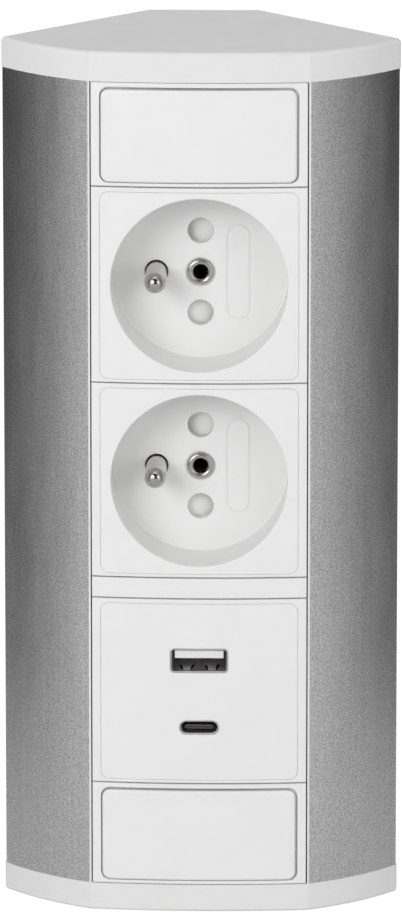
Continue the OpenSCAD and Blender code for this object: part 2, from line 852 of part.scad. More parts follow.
module centre_rivet() {
    roll_r = (rivet_head_r - rivet_bore_r) / 2;
    seat_d = floor_d + rivet_seat_depth;
    color(steel) translate([0, 0, socket_mid]) {
        turned(seat_d) intersection() {
            translate([rivet_bore_r + roll_r, rivet_head_h - roll_r]) circle(roll_r);
            square([rivet_head_r, rivet_head_h]);
        }
        through(seat_d - merge, rivet_boss_d + rivet_flare_t) ring(rivet_r, rivet_bore_r);
        through(rivet_boss_d + seat_gap, rivet_boss_d + rivet_flare_t) ring(rivet_flare_r, rivet_bore_r);
    }
}

module pad_wedge(half_angle, r) {
    polygon([[0, 0], r * [-sin(half_angle), cos(half_angle)], r * [0, 1 / cos(half_angle)],
        r * [sin(half_angle), cos(half_angle)]]);
}

module shutter() {
    ramp_x = pad_r * sin(pad_half_angle);
    color(white) translate([0, 0, socket_mid]) difference() {
        union() {
            through(shutter_d, shutter_d + shutter_t) circle(hub_r);
            for (turn = [0, 180]) rotate([0, turn, 0]) difference() {
                through(shutter_d, shutter_d + shutter_t) intersection() {
                    circle(pad_r);
                    pad_wedge(pad_half_angle, pad_r);
                }
                translate([0, 0, hub_r]) linear_extrude(pad_r)
                    polygon([[ramp_x, shutter_d], [-ramp_x, shutter_d + ramp_depth],
                        [-ramp_x - overrun, shutter_d], [-ramp_x, shutter_d - overrun],
                        [ramp_x, shutter_d - overrun]]);
            }
        }
        through(shutter_d - overrun, shutter_d + shutter_t + overrun) circle(bearing_r);
        rotate([0, -spring_tuck, 0]) through(shutter_d + shutter_t / 2, shutter_d + shutter_t + overrun)
            translate([0, spring_r]) circle(spring_groove - hole_clearance);
    }
}

// Spring of one turn: its front leg pushes the shutter, its rear leg stands in the base
module shutter_spring() {
    color(steel) translate([0, spring_d, socket_mid]) {
        rotate([90, 0, 0]) rotate([0, 0, 90]) rotate_extrude(angle = spring_angle)
            translate([spring_r, 0]) circle(spring_wire_r, $fn = edge_sides);
        spring_leg(spring_tuck, -spring_leg);
        spring_leg(spring_angle - spring_tuck, spring_leg);
    }
}

// The leg stands a little inside the end of the turn and is a little thinner than the wire
module spring_leg(angle, reach) {
    rotate([0, -angle, 0]) translate([0, 0, spring_r])
        through(min(0, reach), max(0, reach)) circle(spring_wire_r - spring_flat);
}

module chamber(from_x, to_x, mid_z) {
    through(chamber_d, base_back_d + overrun) translate([from_x, mid_z - chamber_half])
        square([to_x - from_x, 2 * chamber_half]);
}

// Screwdriver tunnel through a side of the base to a terminal
module tunnel(side, terminal_x, mid_z) {
    translate([side * terminal_x, terminal_screw_d, mid_z]) rotate([0, side * 90, 0])
        cylinder(h = base_w, r = tunnel_r);
}

module contact_base() {
    contact_x = leaf_half + pocket_clearance;
    block_half = terminal_w / 2 + pocket_clearance;
    color(shade) translate([0, 0, socket_mid]) difference() {
        through(floor_back_d + seat_gap, base_back_d) rounded_rect(base_w, base_h, base_corner_r);
        through(floor_back_d - overrun, pocket_d) circle(pocket_r);
        through(pocket_d - overrun, pocket_d + 2 * spring_groove)
            ring(spring_r + spring_groove, spring_r - spring_groove);
        rotate([0, spring_tuck - spring_angle, 0]) translate([0, 0, spring_r])
            through(pocket_d, spring_d + spring_leg + pocket_clearance) circle(spring_groove - hole_clearance);
        through(pocket_d - overrun, chamber_d + overrun) {
            contact_places() circle(contact_hole_r);
            translate([-earth_offset, 0]) circle(earth_pin_r + hole_clearance);
        }
        through(pocket_d - overrun, base_back_d) circle(bearing_r);
        through(rivet_boss_d, base_back_d + overrun) circle(rivet_well_r);
        chamber(-contact_x, live_terminal_x + block_half, contact_offset);
        chamber(-contact_x, neutral_terminal_x + block_half, -contact_offset);
        chamber(-earth_terminal_x - block_half, -earth_offset + pin_collar_r + pocket_clearance, 0);
        tunnel(1, live_terminal_x, contact_offset);
        tunnel(1, neutral_terminal_x, -contact_offset);
        tunnel(-1, earth_terminal_x, 0);
        cover_screw_holes(base_back_d - cover_screw_len, base_back_d + overrun);
    }
}

module cover_screw_holes(from_d, to_d) {
    through(from_d, to_d) for (place = cover_screw_places) translate(place)
        circle(cover_screw_r + hole_clearance);
}

module wire_holes(x, mid_z) {
    for (end = [-1, 1]) translate([x, mid_z + end * wire_pitch / 2]) circle(jacket_hole_r);
}

module base_cover() {
    color(shade) translate([0, 0, socket_mid]) difference() {
        through(base_back_d + seat_gap, cover_back_d) difference() {
            rounded_rect(base_w, base_h, base_corner_r);
            wire_holes(live_terminal_x, contact_offset);
            wire_holes(neutral_terminal_x, -contact_offset);
            wire_holes(-earth_terminal_x, 0);
        }
        cover_screw_holes(base_back_d - overrun, cover_back_d + overrun);
    }
}

module base_cover_screws() {
    color(steel) for (number = [1, 2]) at_socket(number) translate([0, 0, socket_mid])
        for (place = cover_screw_places) translate([place[0], cover_back_d + seat_gap, place[1]]) {
            through(-cover_screw_len, merge) circle(cover_screw_r);
            through(0, cover_screw_head_t) circle(cover_screw_head_r);
        }
}

// Block of a terminal round its middle, with two wire bores and one screw bore
module terminal_block(side) {
    difference() {
        through(terminal_front_d, terminal_back_d) square([terminal_w, terminal_h], center = true);
        through(core_end_d - hole_clearance, terminal_back_d + overrun)
            for (end = [-1, 1]) translate([0, end * wire_pitch / 2]) circle(wire_hole_r);
        translate([0, terminal_screw_d, 0]) rotate([0, side * 90, 0])
            cylinder(h = terminal_w, r = terminal_screw_r + hole_clearance);
    }
}

module terminal_screw(side) {
    translate([side * terminal_w / 2, terminal_screw_d, 0]) rotate([0, side * 90, 0]) {
        translate([0, 0, seat_gap]) difference() {
            cylinder(h = screw_head_t, r = screw_head_r);
            translate([-screw_head_r, -strip_t / 2, screw_head_t / 2])
                cube([2 * screw_head_r, strip_t, screw_head_t]);
        }
        reach = terminal_w / 2 - core_r - hole_clearance;
        translate([0, 0, -reach]) cylinder(h = reach + seat_gap + merge, r = terminal_screw_r);
    }
}

// Contact with two leaves on the axis of its hole, and a web that runs to the terminal
module blade_contact(terminal_x) {
    color(brass) {
        translate([0, 0, -strip_w / 2]) linear_extrude(strip_w) {
            for (side = [-1, 1]) translate([side * (leaf_half - strip_t / 2) - strip_t / 2, contact_front_d])
                square([strip_t, leaf_len]);
            translate([-leaf_half, contact_back_d - strip_t])
                square([leaf_half + terminal_x - terminal_w / 2 + merge, strip_t]);
        }
        translate([terminal_x, 0, 0]) terminal_block(1);
    }
}

module live_contact() {
    translate([0, 0, socket_mid + contact_offset]) blade_contact(live_terminal_x);
}

module neutral_contact() {
    translate([0, 0, socket_mid - contact_offset]) blade_contact(neutral_terminal_x);
}

module earth_strap() {
    plate_x = earth_terminal_x + terminal_w / 2;
    color(brass) translate([0, 0, socket_mid]) {
        through(earth_plate_d, earth_plate_d + strip_t) difference() {
            translate([-plate_x, -strip_w / 2]) square([plate_x - earth_offset + pin_collar_r, strip_w]);
            translate([-earth_offset, 0]) circle(pin_tenon_r + hole_clearance);
        }
        through(earth_plate_d, terminal_front_d + merge) translate([-plate_x, -strip_w / 2])
            square([strip_t, strip_w]);
        translate([-earth_terminal_x, 0, 0]) terminal_block(-1);
    }
}

module terminal_screws() {
    color(steel) for (number = [1, 2]) at_socket(number) translate([0, 0, socket_mid]) {
        translate([live_terminal_x, 0, contact_offset]) terminal_screw(1);
        translate([neutral_terminal_x, 0, -contact_offset]) terminal_screw(1);
        translate([-earth_terminal_x, 0, 0]) terminal_screw(-1);
    }
}

// Quarter bend of a wire from pointing back (+Y) to pointing down or up
module wire_elbow(up) {
    translate([0, 0, up * wire_bend_r]) rotate([0, 90, 0]) rotate(up > 0 ? 0 : 90)
        rotate_extrude(angle = 90) translate([wire_bend_r, 0]) circle(jacket_r);
}

// End of a wire in a terminal: bare core, then the insulation back to the bend
module wire_end(z, core_d, jacket_d) {
    translate([0, 0, z]) {
        through(core_d, jacket_d + merge) circle(core_r);
        through(jacket_d, wire_run_d - wire_bend_r) circle(jacket_r);
    }
}

// Wire from an upper terminal to a lower one, down the column behind the modules
module link_wire(x, upper_z, lower_z, lower_core_d, lower_jacket_d) {
    translate([x, 0, 0]) {
        wire_end(upper_z, core_end_d, jacket_end_d);
        wire_end(lower_z, lower_core_d, lower_jacket_d);
        translate([0, wire_run_d - wire_bend_r, upper_z]) wire_elbow(-1);
        translate([0, wire_run_d - wire_bend_r, lower_z]) wire_elbow(1);
        translate([0, wire_run_d, lower_z + wire_bend_r])
            cylinder(h = upper_z - lower_z - 2 * wire_bend_r, r = jacket_r);
    }
}

function terminal_z(number, rise) = (number == 1 ? socket_1_z : socket_2_z) + socket_mid + rise;

module pole_wires(x, rise) {
    step = wire_pitch / 2;
    placed() {
        link_wire(x, terminal_z(1, rise) - step, terminal_z(2, rise) + step, core_end_d, jacket_end_d);
        link_wire(x, terminal_z(2, rise) - step, usb_z + usb_terminal_z, usb_core_d,
            usb_terminal_back_d - pocket_clearance);
    }
}

module live_wires() {
    color([0.45, 0.26, 0.14]) pole_wires(live_terminal_x, contact_offset);
}

module neutral_wires() {
    color([0.2, 0.4, 0.75]) pole_wires(neutral_terminal_x, -contact_offset);
}

module earth_wires() {
    step = wire_pitch / 2;
    upper_z = terminal_z(2, 0) - step;
    lower_z = bond_z + tag_r + tag_neck_len + tag_barrel_len;
    color([0.45, 0.7, 0.2]) placed() {
        link_wire(-earth_terminal_x, terminal_z(1, 0) - step, terminal_z(2, 0) + step, core_end_d,
            jacket_end_d);
        translate([-earth_terminal_x, 0, 0]) {
            wire_end(upper_z, core_end_d, jacket_end_d);
            translate([0, wire_run_d - wire_bend_r, upper_z]) wire_elbow(-1);
            translate([0, wire_run_d, lower_z - merge])
                cylinder(h = upper_z - wire_bend_r - lower_z + merge, r = jacket_r);
            translate([0, wire_run_d, lower_z - tag_barrel_len])
                cylinder(h = tag_barrel_len, r = tag_barrel_r);
        }
        earth_tag();
    }
}

// Ring tag that lies on the slanted wall under the bond screw, with a neck up to the barrel
module earth_tag() {
    at_bond() {
        translate([0, 0, -seat_gap - tag_t]) linear_extrude(tag_t) difference() {
            union() {
                circle(tag_r);
                translate([-tag_barrel_r, -tag_r - tag_neck_len])
                    square([2 * tag_barrel_r, tag_r + tag_neck_len]);
            }
            circle(bond_screw_r + hole_clearance);
        }
        translate([-tag_barrel_r / 2, -tag_r - tag_neck_len - merge, -bond_gap()])
            cube([tag_barrel_r, tag_neck_len, bond_gap() - seat_gap]);
    }
}

module earth_bond_screw() {
    color(steel) placed() at_bond() {
        translate([0, 0, -2 * seat_gap - tag_t - bond_head_t]) cylinder(h = bond_head_t, r = bond_head_r);
        translate([0, 0, -2 * seat_gap - tag_t - merge])
            cylinder(h = 2 * seat_gap + tag_t + merge + profile_wall, r = bond_screw_r);
    }
}

module usb_frame() {
    color(white) module_frame(usb_h, tall_hook_shares) panel_outline(usb_h, ledge_w);
}

module usb_a_outline(grow) {
    rounded_rect(usb_a_w + 2 * grow, usb_a_h + 2 * grow, usb_a_corner_r);
}

module usb_c_outline(grow) {
    rounded_rect(usb_c_w + 2 * grow, usb_c_h + 2 * grow, usb_c_h / 2 + grow - seat_gap);
}

module usb_face() {
    color(white) difference() {
        panel_plate(usb_h, panel_gap);
        through(-2 * front_bulge, panel_d + overrun) {
            translate([0, usb_a_z]) usb_a_outline(usb_gap);
            translate([0, usb_c_z]) usb_c_outline(usb_gap);
        }
    }
}

module usb_a_shell() {
    color(steel) translate([0, 0, usb_a_z]) {
        difference() {
            through(usb_front_d, board_d - seat_gap) usb_a_outline(0);
            through(usb_front_d - overrun, board_d - seat_gap - usb_sheet) usb_a_outline(-usb_sheet);
            usb_a_window_places() translate([0, 0, -overrun]) linear_extrude(overrun + 2 * usb_sheet)
                usb_a_window();
        }
        usb_a_window_places() linear_extrude(usb_sheet) usb_a_spring();
    }
}

module usb_a_window_places() {
    both_sides() translate([usb_a_w * usb_a_window_share, 0, -usb_a_h / 2]) children();
}

// Shape in plan that narrows towards the back
module taper(half_front, half_back, from_d, to_d) {
    polygon([[-half_front, from_d], [half_front, from_d], [half_back, to_d], [-half_back, to_d]]);
}

// Window in the floor of the shell, and the spring tab that stands in it from its rear end
module usb_a_window() {
    front = usb_front_d + usb_a_window_d;
    taper(usb_a_window_half, usb_a_window_half - usb_sheet, front, front + usb_a_window_len);
}

module usb_a_spring() {
    front = usb_front_d + usb_a_window_d + usb_sheet;
    half = usb_a_window_half - 2 * usb_sheet;
    taper(half, half - usb_sheet, front, front + usb_a_window_len);
}

module usb_a_tongue() {
    top = usb_a_h / 2 - usb_sheet - usb_a_tongue_drop;
    color(white) translate([0, 0, usb_a_z])
        through(usb_front_d + usb_a_tongue_set_back, board_d - seat_gap - usb_sheet - seat_gap)
            translate([-usb_a_tongue_w / 2, top - usb_a_tongue_t]) square([usb_a_tongue_w, usb_a_tongue_t]);
}

module usb_a_contacts() {
    under = usb_a_h / 2 - usb_sheet - usb_a_tongue_drop - usb_a_tongue_t;
    start = usb_front_d + usb_a_tongue_set_back + usb_a_contact_w;
    color(brass) translate([0, 0, usb_a_z]) for (step = [-1.5 : 1.5]) through(start, start + usb_contact_len)
        translate([step * usb_a_contact_pitch - usb_a_contact_w / 2, under - seat_gap - usb_a_contact_t])
            square([usb_a_contact_w, usb_a_contact_t]);
}

module usb_c_shell() {
    color(steel) translate([0, 0, usb_c_z]) difference() {
        through(usb_front_d, board_d - seat_gap) usb_c_outline(0);
        through(usb_front_d - overrun, board_d - seat_gap - usb_sheet) usb_c_outline(-usb_sheet);
    }
}

module usb_c_tongue() {
    color(dark) translate([0, 0, usb_c_z])
        through(usb_front_d + usb_c_tongue_set_back, board_d - 2 * seat_gap - usb_sheet)
            square([usb_c_tongue_w, usb_c_tongue_t], center = true);
}

module usb_c_contacts() {
    start = usb_front_d + usb_c_tongue_set_back + usb_c_contact_pitch;
    rise = usb_c_tongue_t / 2 + seat_gap + usb_c_contact_t / 2;
    color(brass) translate([0, 0, usb_c_z]) through(start, start + usb_contact_len)
        for (face = [-1, 1], step = [0.5 - usb_c_contact_pairs : usb_c_contact_pairs - 0.5])
            translate([step * usb_c_contact_pitch, face * rise])
                square([usb_c_contact_w, usb_c_contact_t], center = true);
}

module post_places() {
    for (side = [-1, 1], end = [-1, 1])
        translate([side * (board_size / 2 - post_inset), end * (board_h / 2 - post_inset)]) children();
}

module usb_housing() {
    color(shade) translate([0, 0, usb_mid]) difference() {
        union() {
            through(housing_front_d, housing_back_d) difference() {
                rounded_rect(housing_w, housing_h, panel_r);
                rounded_rect(housing_w - 2 * housing_wall, housing_h - 2 * housing_wall, housing_wall / 2);
            }
            through(housing_back_d - housing_wall, housing_back_d)
                rounded_rect(housing_w, housing_h, panel_r);
            through(board_back_d + seat_gap, housing_back_d) post_places() circle(post_r);
        }
        through(housing_back_d - housing_wall - overrun, housing_back_d + overrun)
            for (x = [live_terminal_x, neutral_terminal_x]) translate([x, usb_terminal_z - usb_mid])
                circle(jacket_hole_r);
        through(board_back_d - overrun, board_back_d + board_screw_len + hole_clearance) post_places()
            circle(board_screw_r + hole_clearance);
    }
}

module usb_board() {
    color([0.1, 0.35, 0.2]) translate([0, 0, usb_mid]) through(board_d, board_back_d) difference() {
        square([board_size, board_h], center = true);
        post_places() circle(board_screw_r + hole_clearance);
    }
}

module usb_board_screws() {
    color(steel) translate([0, board_d - seat_gap, usb_mid]) {
        through(-board_screw_head_t, 0) post_places() circle(board_screw_head_r);
        through(-merge, board_t + seat_gap + board_screw_len) post_places() circle(board_screw_r);
    }
}

module usb_transformer() {
    core_t = transformer_len * transformer_core_share;
    start = board_back_d + seat_gap;
    color(dark) translate([-transformer_w / 2, 0, transformer_z]) {
        through(start, start + transformer_len)
            square([transformer_w, transformer_h - 2 * core_t], center = true);
        through(start + core_t, start + transformer_len - core_t)
            square([transformer_w - core_t, transformer_h], center = true);
    }
}

module usb_capacitors() {
    start = board_back_d + seat_gap;
    color([0.2, 0.25, 0.3]) translate([0, 0, capacitor_z])
        for (side = [-1, 1]) translate([side * (capacitor_r + pocket_clearance), 0, 0])
            through(start, start + capacitor_len) circle(capacitor_r);
}

// Two chips in a row under the terminal
module usb_chips() {
    start = board_back_d + seat_gap;
    mid_x = (live_terminal_x + neutral_terminal_x) / 2;
    first_z = usb_terminal_z - usb_terminal_h / 2 - chip_gap - chip_h;
    color(dark) for (step = [0, 1]) translate([mid_x, 0, first_z - step * (chip_h + chip_gap)])
        through(start, start + chip_t) translate([-chip_w / 2, 0]) square([chip_w, chip_h]);
}

module usb_terminal() {
    mid_x = (live_terminal_x + neutral_terminal_x) / 2;
    color([0.2, 0.5, 0.3]) translate([0, 0, usb_terminal_z]) difference() {
        through(board_back_d + seat_gap, usb_terminal_back_d) translate([mid_x, 0])
            square([usb_terminal_w, usb_terminal_h], center = true);
        through(usb_bore_d, usb_terminal_back_d + overrun)
            for (x = [live_terminal_x, neutral_terminal_x]) translate([x, 0]) circle(jacket_hole_r);
    }
}

aluminium_profile();
top_cap();
bottom_cap();
bottom_cap_screws();
cable_bushing();
bushing_nut();
placed(blank_top_z) blank_frame();  // blank_frame_top
placed(blank_top_z) blank_cover();  // blank_cover_top
placed(blank_bottom_z) blank_frame();  // blank_frame_bottom
placed(blank_bottom_z) blank_cover();  // blank_cover_bottom
placed(strip_z) filler_strip();
at_socket(1) socket_frame();  // socket_frame_1
at_socket(1) socket_face();  // socket_face_1
at_socket(1) earth_pin();  // earth_pin_1
at_socket(1) centre_rivet();  // centre_rivet_1
at_socket(1) shutter();  // shutter_1
at_socket(1) shutter_spring();  // shutter_spring_1
at_socket(1) contact_base();  // contact_base_1
at_socket(1) base_cover();  // base_cover_1
at_socket(1) live_contact();  // live_contact_1
at_socket(1) neutral_contact();  // neutral_contact_1
at_socket(1) earth_strap();  // earth_strap_1
at_socket(2) socket_frame();  // socket_frame_2
at_socket(2) socket_face();  // socket_face_2
at_socket(2) earth_pin();  // earth_pin_2
at_socket(2) centre_rivet();  // centre_rivet_2
at_socket(2) shutter();  // shutter_2
at_socket(2) shutter_spring();  // shutter_spring_2
at_socket(2) contact_base();  // contact_base_2
at_socket(2) base_cover();  // base_cover_2
at_socket(2) live_contact();  // live_contact_2
at_socket(2) neutral_contact();  // neutral_contact_2
at_socket(2) earth_strap();  // earth_strap_2
terminal_screws();
base_cover_screws();
placed(usb_z) usb_frame();
placed(usb_z) usb_face();
placed(usb_z) usb_a_shell();
placed(usb_z) usb_a_tongue();
placed(usb_z) usb_a_contacts();
placed(usb_z) usb_c_shell();
placed(usb_z) usb_c_tongue();
placed(usb_z) usb_c_contacts();
placed(usb_z) usb_housing();
placed(usb_z) usb_board();
placed(usb_z) usb_transformer();
placed(usb_z) usb_capacitors();
placed(usb_z) usb_chips();
placed(usb_z) usb_terminal();
placed(usb_z) usb_board_screws();
live_wires();
neutral_wires();
earth_wires();
earth_bond_screw();
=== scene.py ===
"""Desk power socket: the finished look of the corner socket, dressed over its packed construction.

Lengths in the dataclasses are millimetres. The depth of a point is measured back from the front creases of
the caps, x runs across the front and z runs up from the desk.
"""

import logging
import math
from contextlib import contextmanager
from dataclasses import dataclass, replace
from enum import Enum
from typing import Callable, Iterator

import bmesh
import bpy
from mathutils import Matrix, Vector


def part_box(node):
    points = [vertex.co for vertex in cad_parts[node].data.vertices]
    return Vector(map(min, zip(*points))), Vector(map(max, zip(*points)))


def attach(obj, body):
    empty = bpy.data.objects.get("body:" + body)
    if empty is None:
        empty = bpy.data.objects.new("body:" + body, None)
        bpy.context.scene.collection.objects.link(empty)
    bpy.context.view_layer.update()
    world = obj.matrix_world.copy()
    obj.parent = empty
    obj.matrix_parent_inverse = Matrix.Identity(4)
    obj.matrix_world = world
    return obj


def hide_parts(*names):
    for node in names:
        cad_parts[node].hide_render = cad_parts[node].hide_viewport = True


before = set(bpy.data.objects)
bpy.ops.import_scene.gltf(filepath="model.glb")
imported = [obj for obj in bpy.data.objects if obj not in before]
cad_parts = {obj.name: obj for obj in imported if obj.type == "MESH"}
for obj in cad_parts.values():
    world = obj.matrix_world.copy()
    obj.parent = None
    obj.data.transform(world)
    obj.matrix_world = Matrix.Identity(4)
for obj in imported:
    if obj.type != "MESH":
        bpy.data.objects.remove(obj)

LOG = logging.getLogger("desk_socket")
MM = 0.001
CREASE_Y = -24.25
# The part of a front, from its flat face back, that follows the front arc.
FRONT_SKIN = 1.19
# How far a cutting tool reaches past a piece, and past the curved front.
OVERRUN = 1.0
FRONT_OVERRUN = 3.0
# How far joined solids reach into each other, and how near counts as the same place.
SEAM = 0.2
CLOSE = 0.01
SIDES = (-1.0, 1.0)
# Places of the snap hooks along a frame's height, on a small and on a large frame.
ONE_HOOK = (0.5,)
TWO_HOOKS = (0.25, 0.75)
# The smallest turn, in degrees, that stays a crease: on most pieces, and on softly rounded ones.
CREASE_ANGLE = 32.0
SOFT_CREASE_ANGLE = 40.0

Span = tuple[float, float]
Triple = tuple[float, float, float]
Colour = Triple
Piece = bpy.types.Object
Socket = bpy.types.NodeSocket


class Joinery(Enum):
    """How one solid changes another."""

    ADD = "UNION"
    CUT = "DIFFERENCE"


class Hold(Enum):
    """Which elements of a mesh are worked on."""

    POINT = "VERT"
    EDGE = "EDGE"
    FACE = "FACE"


class Maths(Enum):
    """What a maths node works out."""

    ADD = "ADD"
    MULTIPLY = "MULTIPLY"
    LARGER = "MAXIMUM"
    SIZE = "ABSOLUTE"


class BlankPlace(Enum):
    """Which end of the stack a blank module closes."""

    TOP = "top"
    BOTTOM = "bottom"


class Grain(Enum):
    """How many times closer the fine texture of a finish lies along x, y and z."""

    EVEN = (1.0, 1.0, 1.0)
    ACROSS = (0.05, 1.0, 1.0)


@dataclass(frozen=True)
class EdgeFacts:
    """Where an edge lies and how sharp it is."""

    first: Triple
    last: Triple
    angle: float

    def run(self, axis: int) -> float:
        """Gives how far the edge runs along an axis: 0 for x, 1 for the depth and 2 for z."""
        return abs(self.first[axis] - self.last[axis])


EdgeTest = Callable[[EdgeFacts], bool]


def both_ends(test: Callable[[float, float, float], bool]) -> EdgeTest:
    """Makes an edge test from a test of (x, depth, z) that both of its ends must pass."""
    return lambda edge: test(*edge.first) and test(*edge.last)


def at_front(limit: float = CLOSE) -> EdgeTest:
    """Makes a test for the edges that lie before a depth."""
    return both_ends(lambda x, depth, z: depth < limit)


def around(middle: float, half: float) -> Span:
    """Gives the two ends of a stretch from its middle and half its length."""
    return middle - half, middle + half


class Bench:
    """The modelling operations that the pieces share."""

    arc_radius: float = 205.763
    arc_half: float = 24.8
    strip: float = 2.0
    strips_aside: int = 11
    sharp_angle: float = 0.35
    weld: float = 0.002

    @staticmethod
    def place(point: Vector) -> Triple:
        """Gives a mesh point as (x, depth, z) in millimetres."""
        return point.x / MM, point.y / MM - CREASE_Y, point.z / MM

    @classmethod
    def rise(cls, x: float) -> float:
        """Gives how far the curved front stands before the creases at a place across it."""
        return math.sqrt(cls.arc_radius**2 - x**2) - math.sqrt(cls.arc_radius**2 - cls.arc_half**2)

    @staticmethod
    def take(piece: Piece) -> None:
        """Makes one piece the only selected and the active one.

        Args:
            piece: the piece.
        """
        bpy.ops.object.select_all(action="DESELECT")
        piece.select_set(True)
        bpy.context.view_layer.objects.active = piece

    @staticmethod
    @contextmanager
    def editing(piece: Piece, hold: Hold = Hold.POINT) -> Iterator[None]:
        """Opens a piece in edit mode, and closes it again.

        Args:
            piece: the piece to edit.
            hold: which of its elements are selected.

        Yields:
            Nothing; the block under it edits the piece.
        """
        Bench.take(piece)
        bpy.ops.object.mode_set(mode="EDIT")
        bpy.ops.mesh.select_mode(type=hold.value)
        yield
        bpy.ops.object.mode_set(mode="OBJECT")

    @staticmethod
    def pick(piece: Piece, hold: Hold, test: Callable[[object], bool]) -> int:
        """Selects the elements that pass a test, in edit mode.

        Args:
            piece: the piece in edit mode.
            hold: which of its elements are tested.
            test: tells whether an element is selected.

        Returns:
            The number of elements selected.
        """
        bpy.ops.mesh.select_all(action="DESELECT")
        mesh = bmesh.from_edit_mesh(piece.data)
        elements = {Hold.POINT: mesh.verts, Hold.EDGE: mesh.edges, Hold.FACE: mesh.faces}[hold]
        count = 0
        for element in elements:
            element.select = test(element)
            count += element.select
        mesh.select_flush_mode()
        bmesh.update_edit_mesh(piece.data)
        return count

    @staticmethod
    def block(name: str, xs: Span, depths: Span, zs: Span, side: float = 1.0) -> Piece:
        """Adds a rectangular block at its size and place.

        Args:
            name: name of the new piece.
            xs: its two ends across the front.
            depths: front and rear end.
            zs: lower and upper end.
            side: -1 for its mirror image on the left side.

        Returns:
            The block, with its place in its mesh.
        """
        bpy.ops.object.select_all(action="DESELECT")
        bpy.ops.mesh.primitive_cube_add(size=1.0)
        piece = bpy.context.active_object
        piece.name = name
        left, right = sorted(side * x for x in xs)
        spans = ((left, right), depths, zs)
        middles = [(low + high) / 2 for low, high in spans]
        middles[1] += CREASE_Y
        bpy.ops.transform.resize(value=[(high - low) * MM for low, high in spans])
        bpy.ops.transform.translate(value=[middle * MM for middle in middles])
        bpy.ops.object.transform_apply(location=True, rotation=True, scale=True)
        return piece

    @staticmethod
    def rod(name: str, radius: float, depths: Span, x: float, z: float, sides: int = 48) -> Piece:
        """Adds a round rod that runs from front to back.

        Args:
            name: name of the new piece.
            radius: radius of the rod.
            depths: front and rear end.
            x: place of its axis across the front.
            z: height of its axis.
            sides: number of flat sides round it.

        Returns:
            The rod, with its place in its mesh.
        """
        bpy.ops.object.select_all(action="DESELECT")
        bpy.ops.mesh.primitive_cylinder_add(
            vertices=sides,
            radius=radius * MM,
            depth=(depths[1] - depths[0]) * MM,
            location=(x * MM, ((depths[0] + depths[1]) / 2 + CREASE_Y) * MM, z * MM),
            rotation=(math.pi / 2, 0.0, 0.0),
        )
        piece = bpy.context.active_object
        piece.name = name
        bpy.ops.object.transform_apply(location=True, rotation=True, scale=True)
        return piece

    @classmethod
    def slab(
        cls, name: str, size: Span, corner: float, depths: Span, middle: Span,
        steps: int = 6, inset: float = 0.0,
    ) -> Piece:
        """Adds a slab with rounded corners, seen from the front.

        Args:
            name: name of the new piece.
            size: width and height.
            corner: radius of the corners.
            depths: front and rear end.
            middle: place across the front and height of its middle.
            steps: faces in each rounded corner.
            inset: how much smaller it is all round.

        Returns:
            The slab, with its place in its mesh.
        """
        xs, zs = (around(centre, (length - 2 * inset) / 2) for centre, length in zip(middle, size))
        piece = cls.block(name, xs, depths, zs)
        cls.bevel(piece, corner - inset, steps, lambda edge: edge.run(1) > CLOSE)
        return piece

    @classmethod
    def wedge(cls, name: str, xs: Span, depths: Span, zs: Span, side: float, tip: float) -> Piece:
        """Adds a catch whose outer side slopes in towards its rear end.

        Args:
            name: name of the new piece.
            xs: how far its inner and its outer side are from the middle at the front end.
            depths: front and rear end.
            zs: lower and upper end.
            side: -1 for the left side and 1 for the right one.
            tip: how far its outer side is from the middle at the rear end.

        Returns:
            The catch, with its place in its mesh.
        """
        piece = cls.block(name, xs, depths, zs, side)

        def at_tip(vert: bmesh.types.BMVert) -> bool:
            """Tells whether a point is on the outer side's rear end."""
            x, depth, _ = cls.place(vert.co)
            return abs(x - side * xs[1]) < CLOSE and abs(depth - depths[1]) < CLOSE

        with cls.editing(piece):
            cls.pick(piece, Hold.POINT, at_tip)
            bpy.ops.transform.translate(value=(side * (tip - xs[1]) * MM, 0.0, 0.0))
        return piece

    @classmethod
    def shape(cls, piece: Piece, tool: Piece, how: Joinery) -> None:
        """Joins a tool solid to a piece or cuts it away, and uses the tool up.

        Args:
            piece: the solid that stays.
            tool: the solid that is used up.
            how: whether the tool is added or cut away.
        """
        cls.take(piece)
        change = piece.modifiers.new(how.value.lower(), "BOOLEAN")
        change.operation = how.value
        change.solver = "EXACT"
        change.object = tool
        bpy.ops.object.modifier_apply(modifier=change.name)
        bpy.data.objects.remove(tool, do_unlink=True)

    @classmethod
    def bevel(cls, piece: Piece, width: float, steps: int, test: EdgeTest) -> int:
        """Rounds the sharp edges that pass a test.

        Args:
            piece: the solid whose edges are rounded.
            width: how far the rounding reaches on each side.
            steps: faces across the rounding.
            test: tells from an edge's facts whether it is rounded.

        Returns:
            The number of edges that were rounded.
        """
        def wanted(edge: bmesh.types.BMEdge) -> bool:
            """Tells whether an edge is sharp and passes the test."""
            facts = EdgeFacts(*(cls.place(vert.co) for vert in edge.verts), edge.calc_face_angle(0.0))
            return facts.angle > cls.sharp_angle and test(facts)

        with cls.editing(piece, Hold.EDGE):
            count = cls.pick(piece, Hold.EDGE, wanted)
            if count:
                bpy.ops.mesh.bevel(
                    offset=width * MM, segments=steps, profile=0.5, affect="EDGES", clamp_overlap=False
                )
        return count

    @classmethod
    def curve_front(cls, piece: Piece) -> None:
        """Cuts the front skin into upright strips and lays it on the front arc.

        Args:
            piece: a solid that was built with a flat front at depth 0.
        """
        def in_skin(face: bmesh.types.BMFace) -> bool:
            """Tells whether a face lies in the front skin."""
            return all(cls.place(vert.co)[1] < FRONT_SKIN for vert in face.verts)

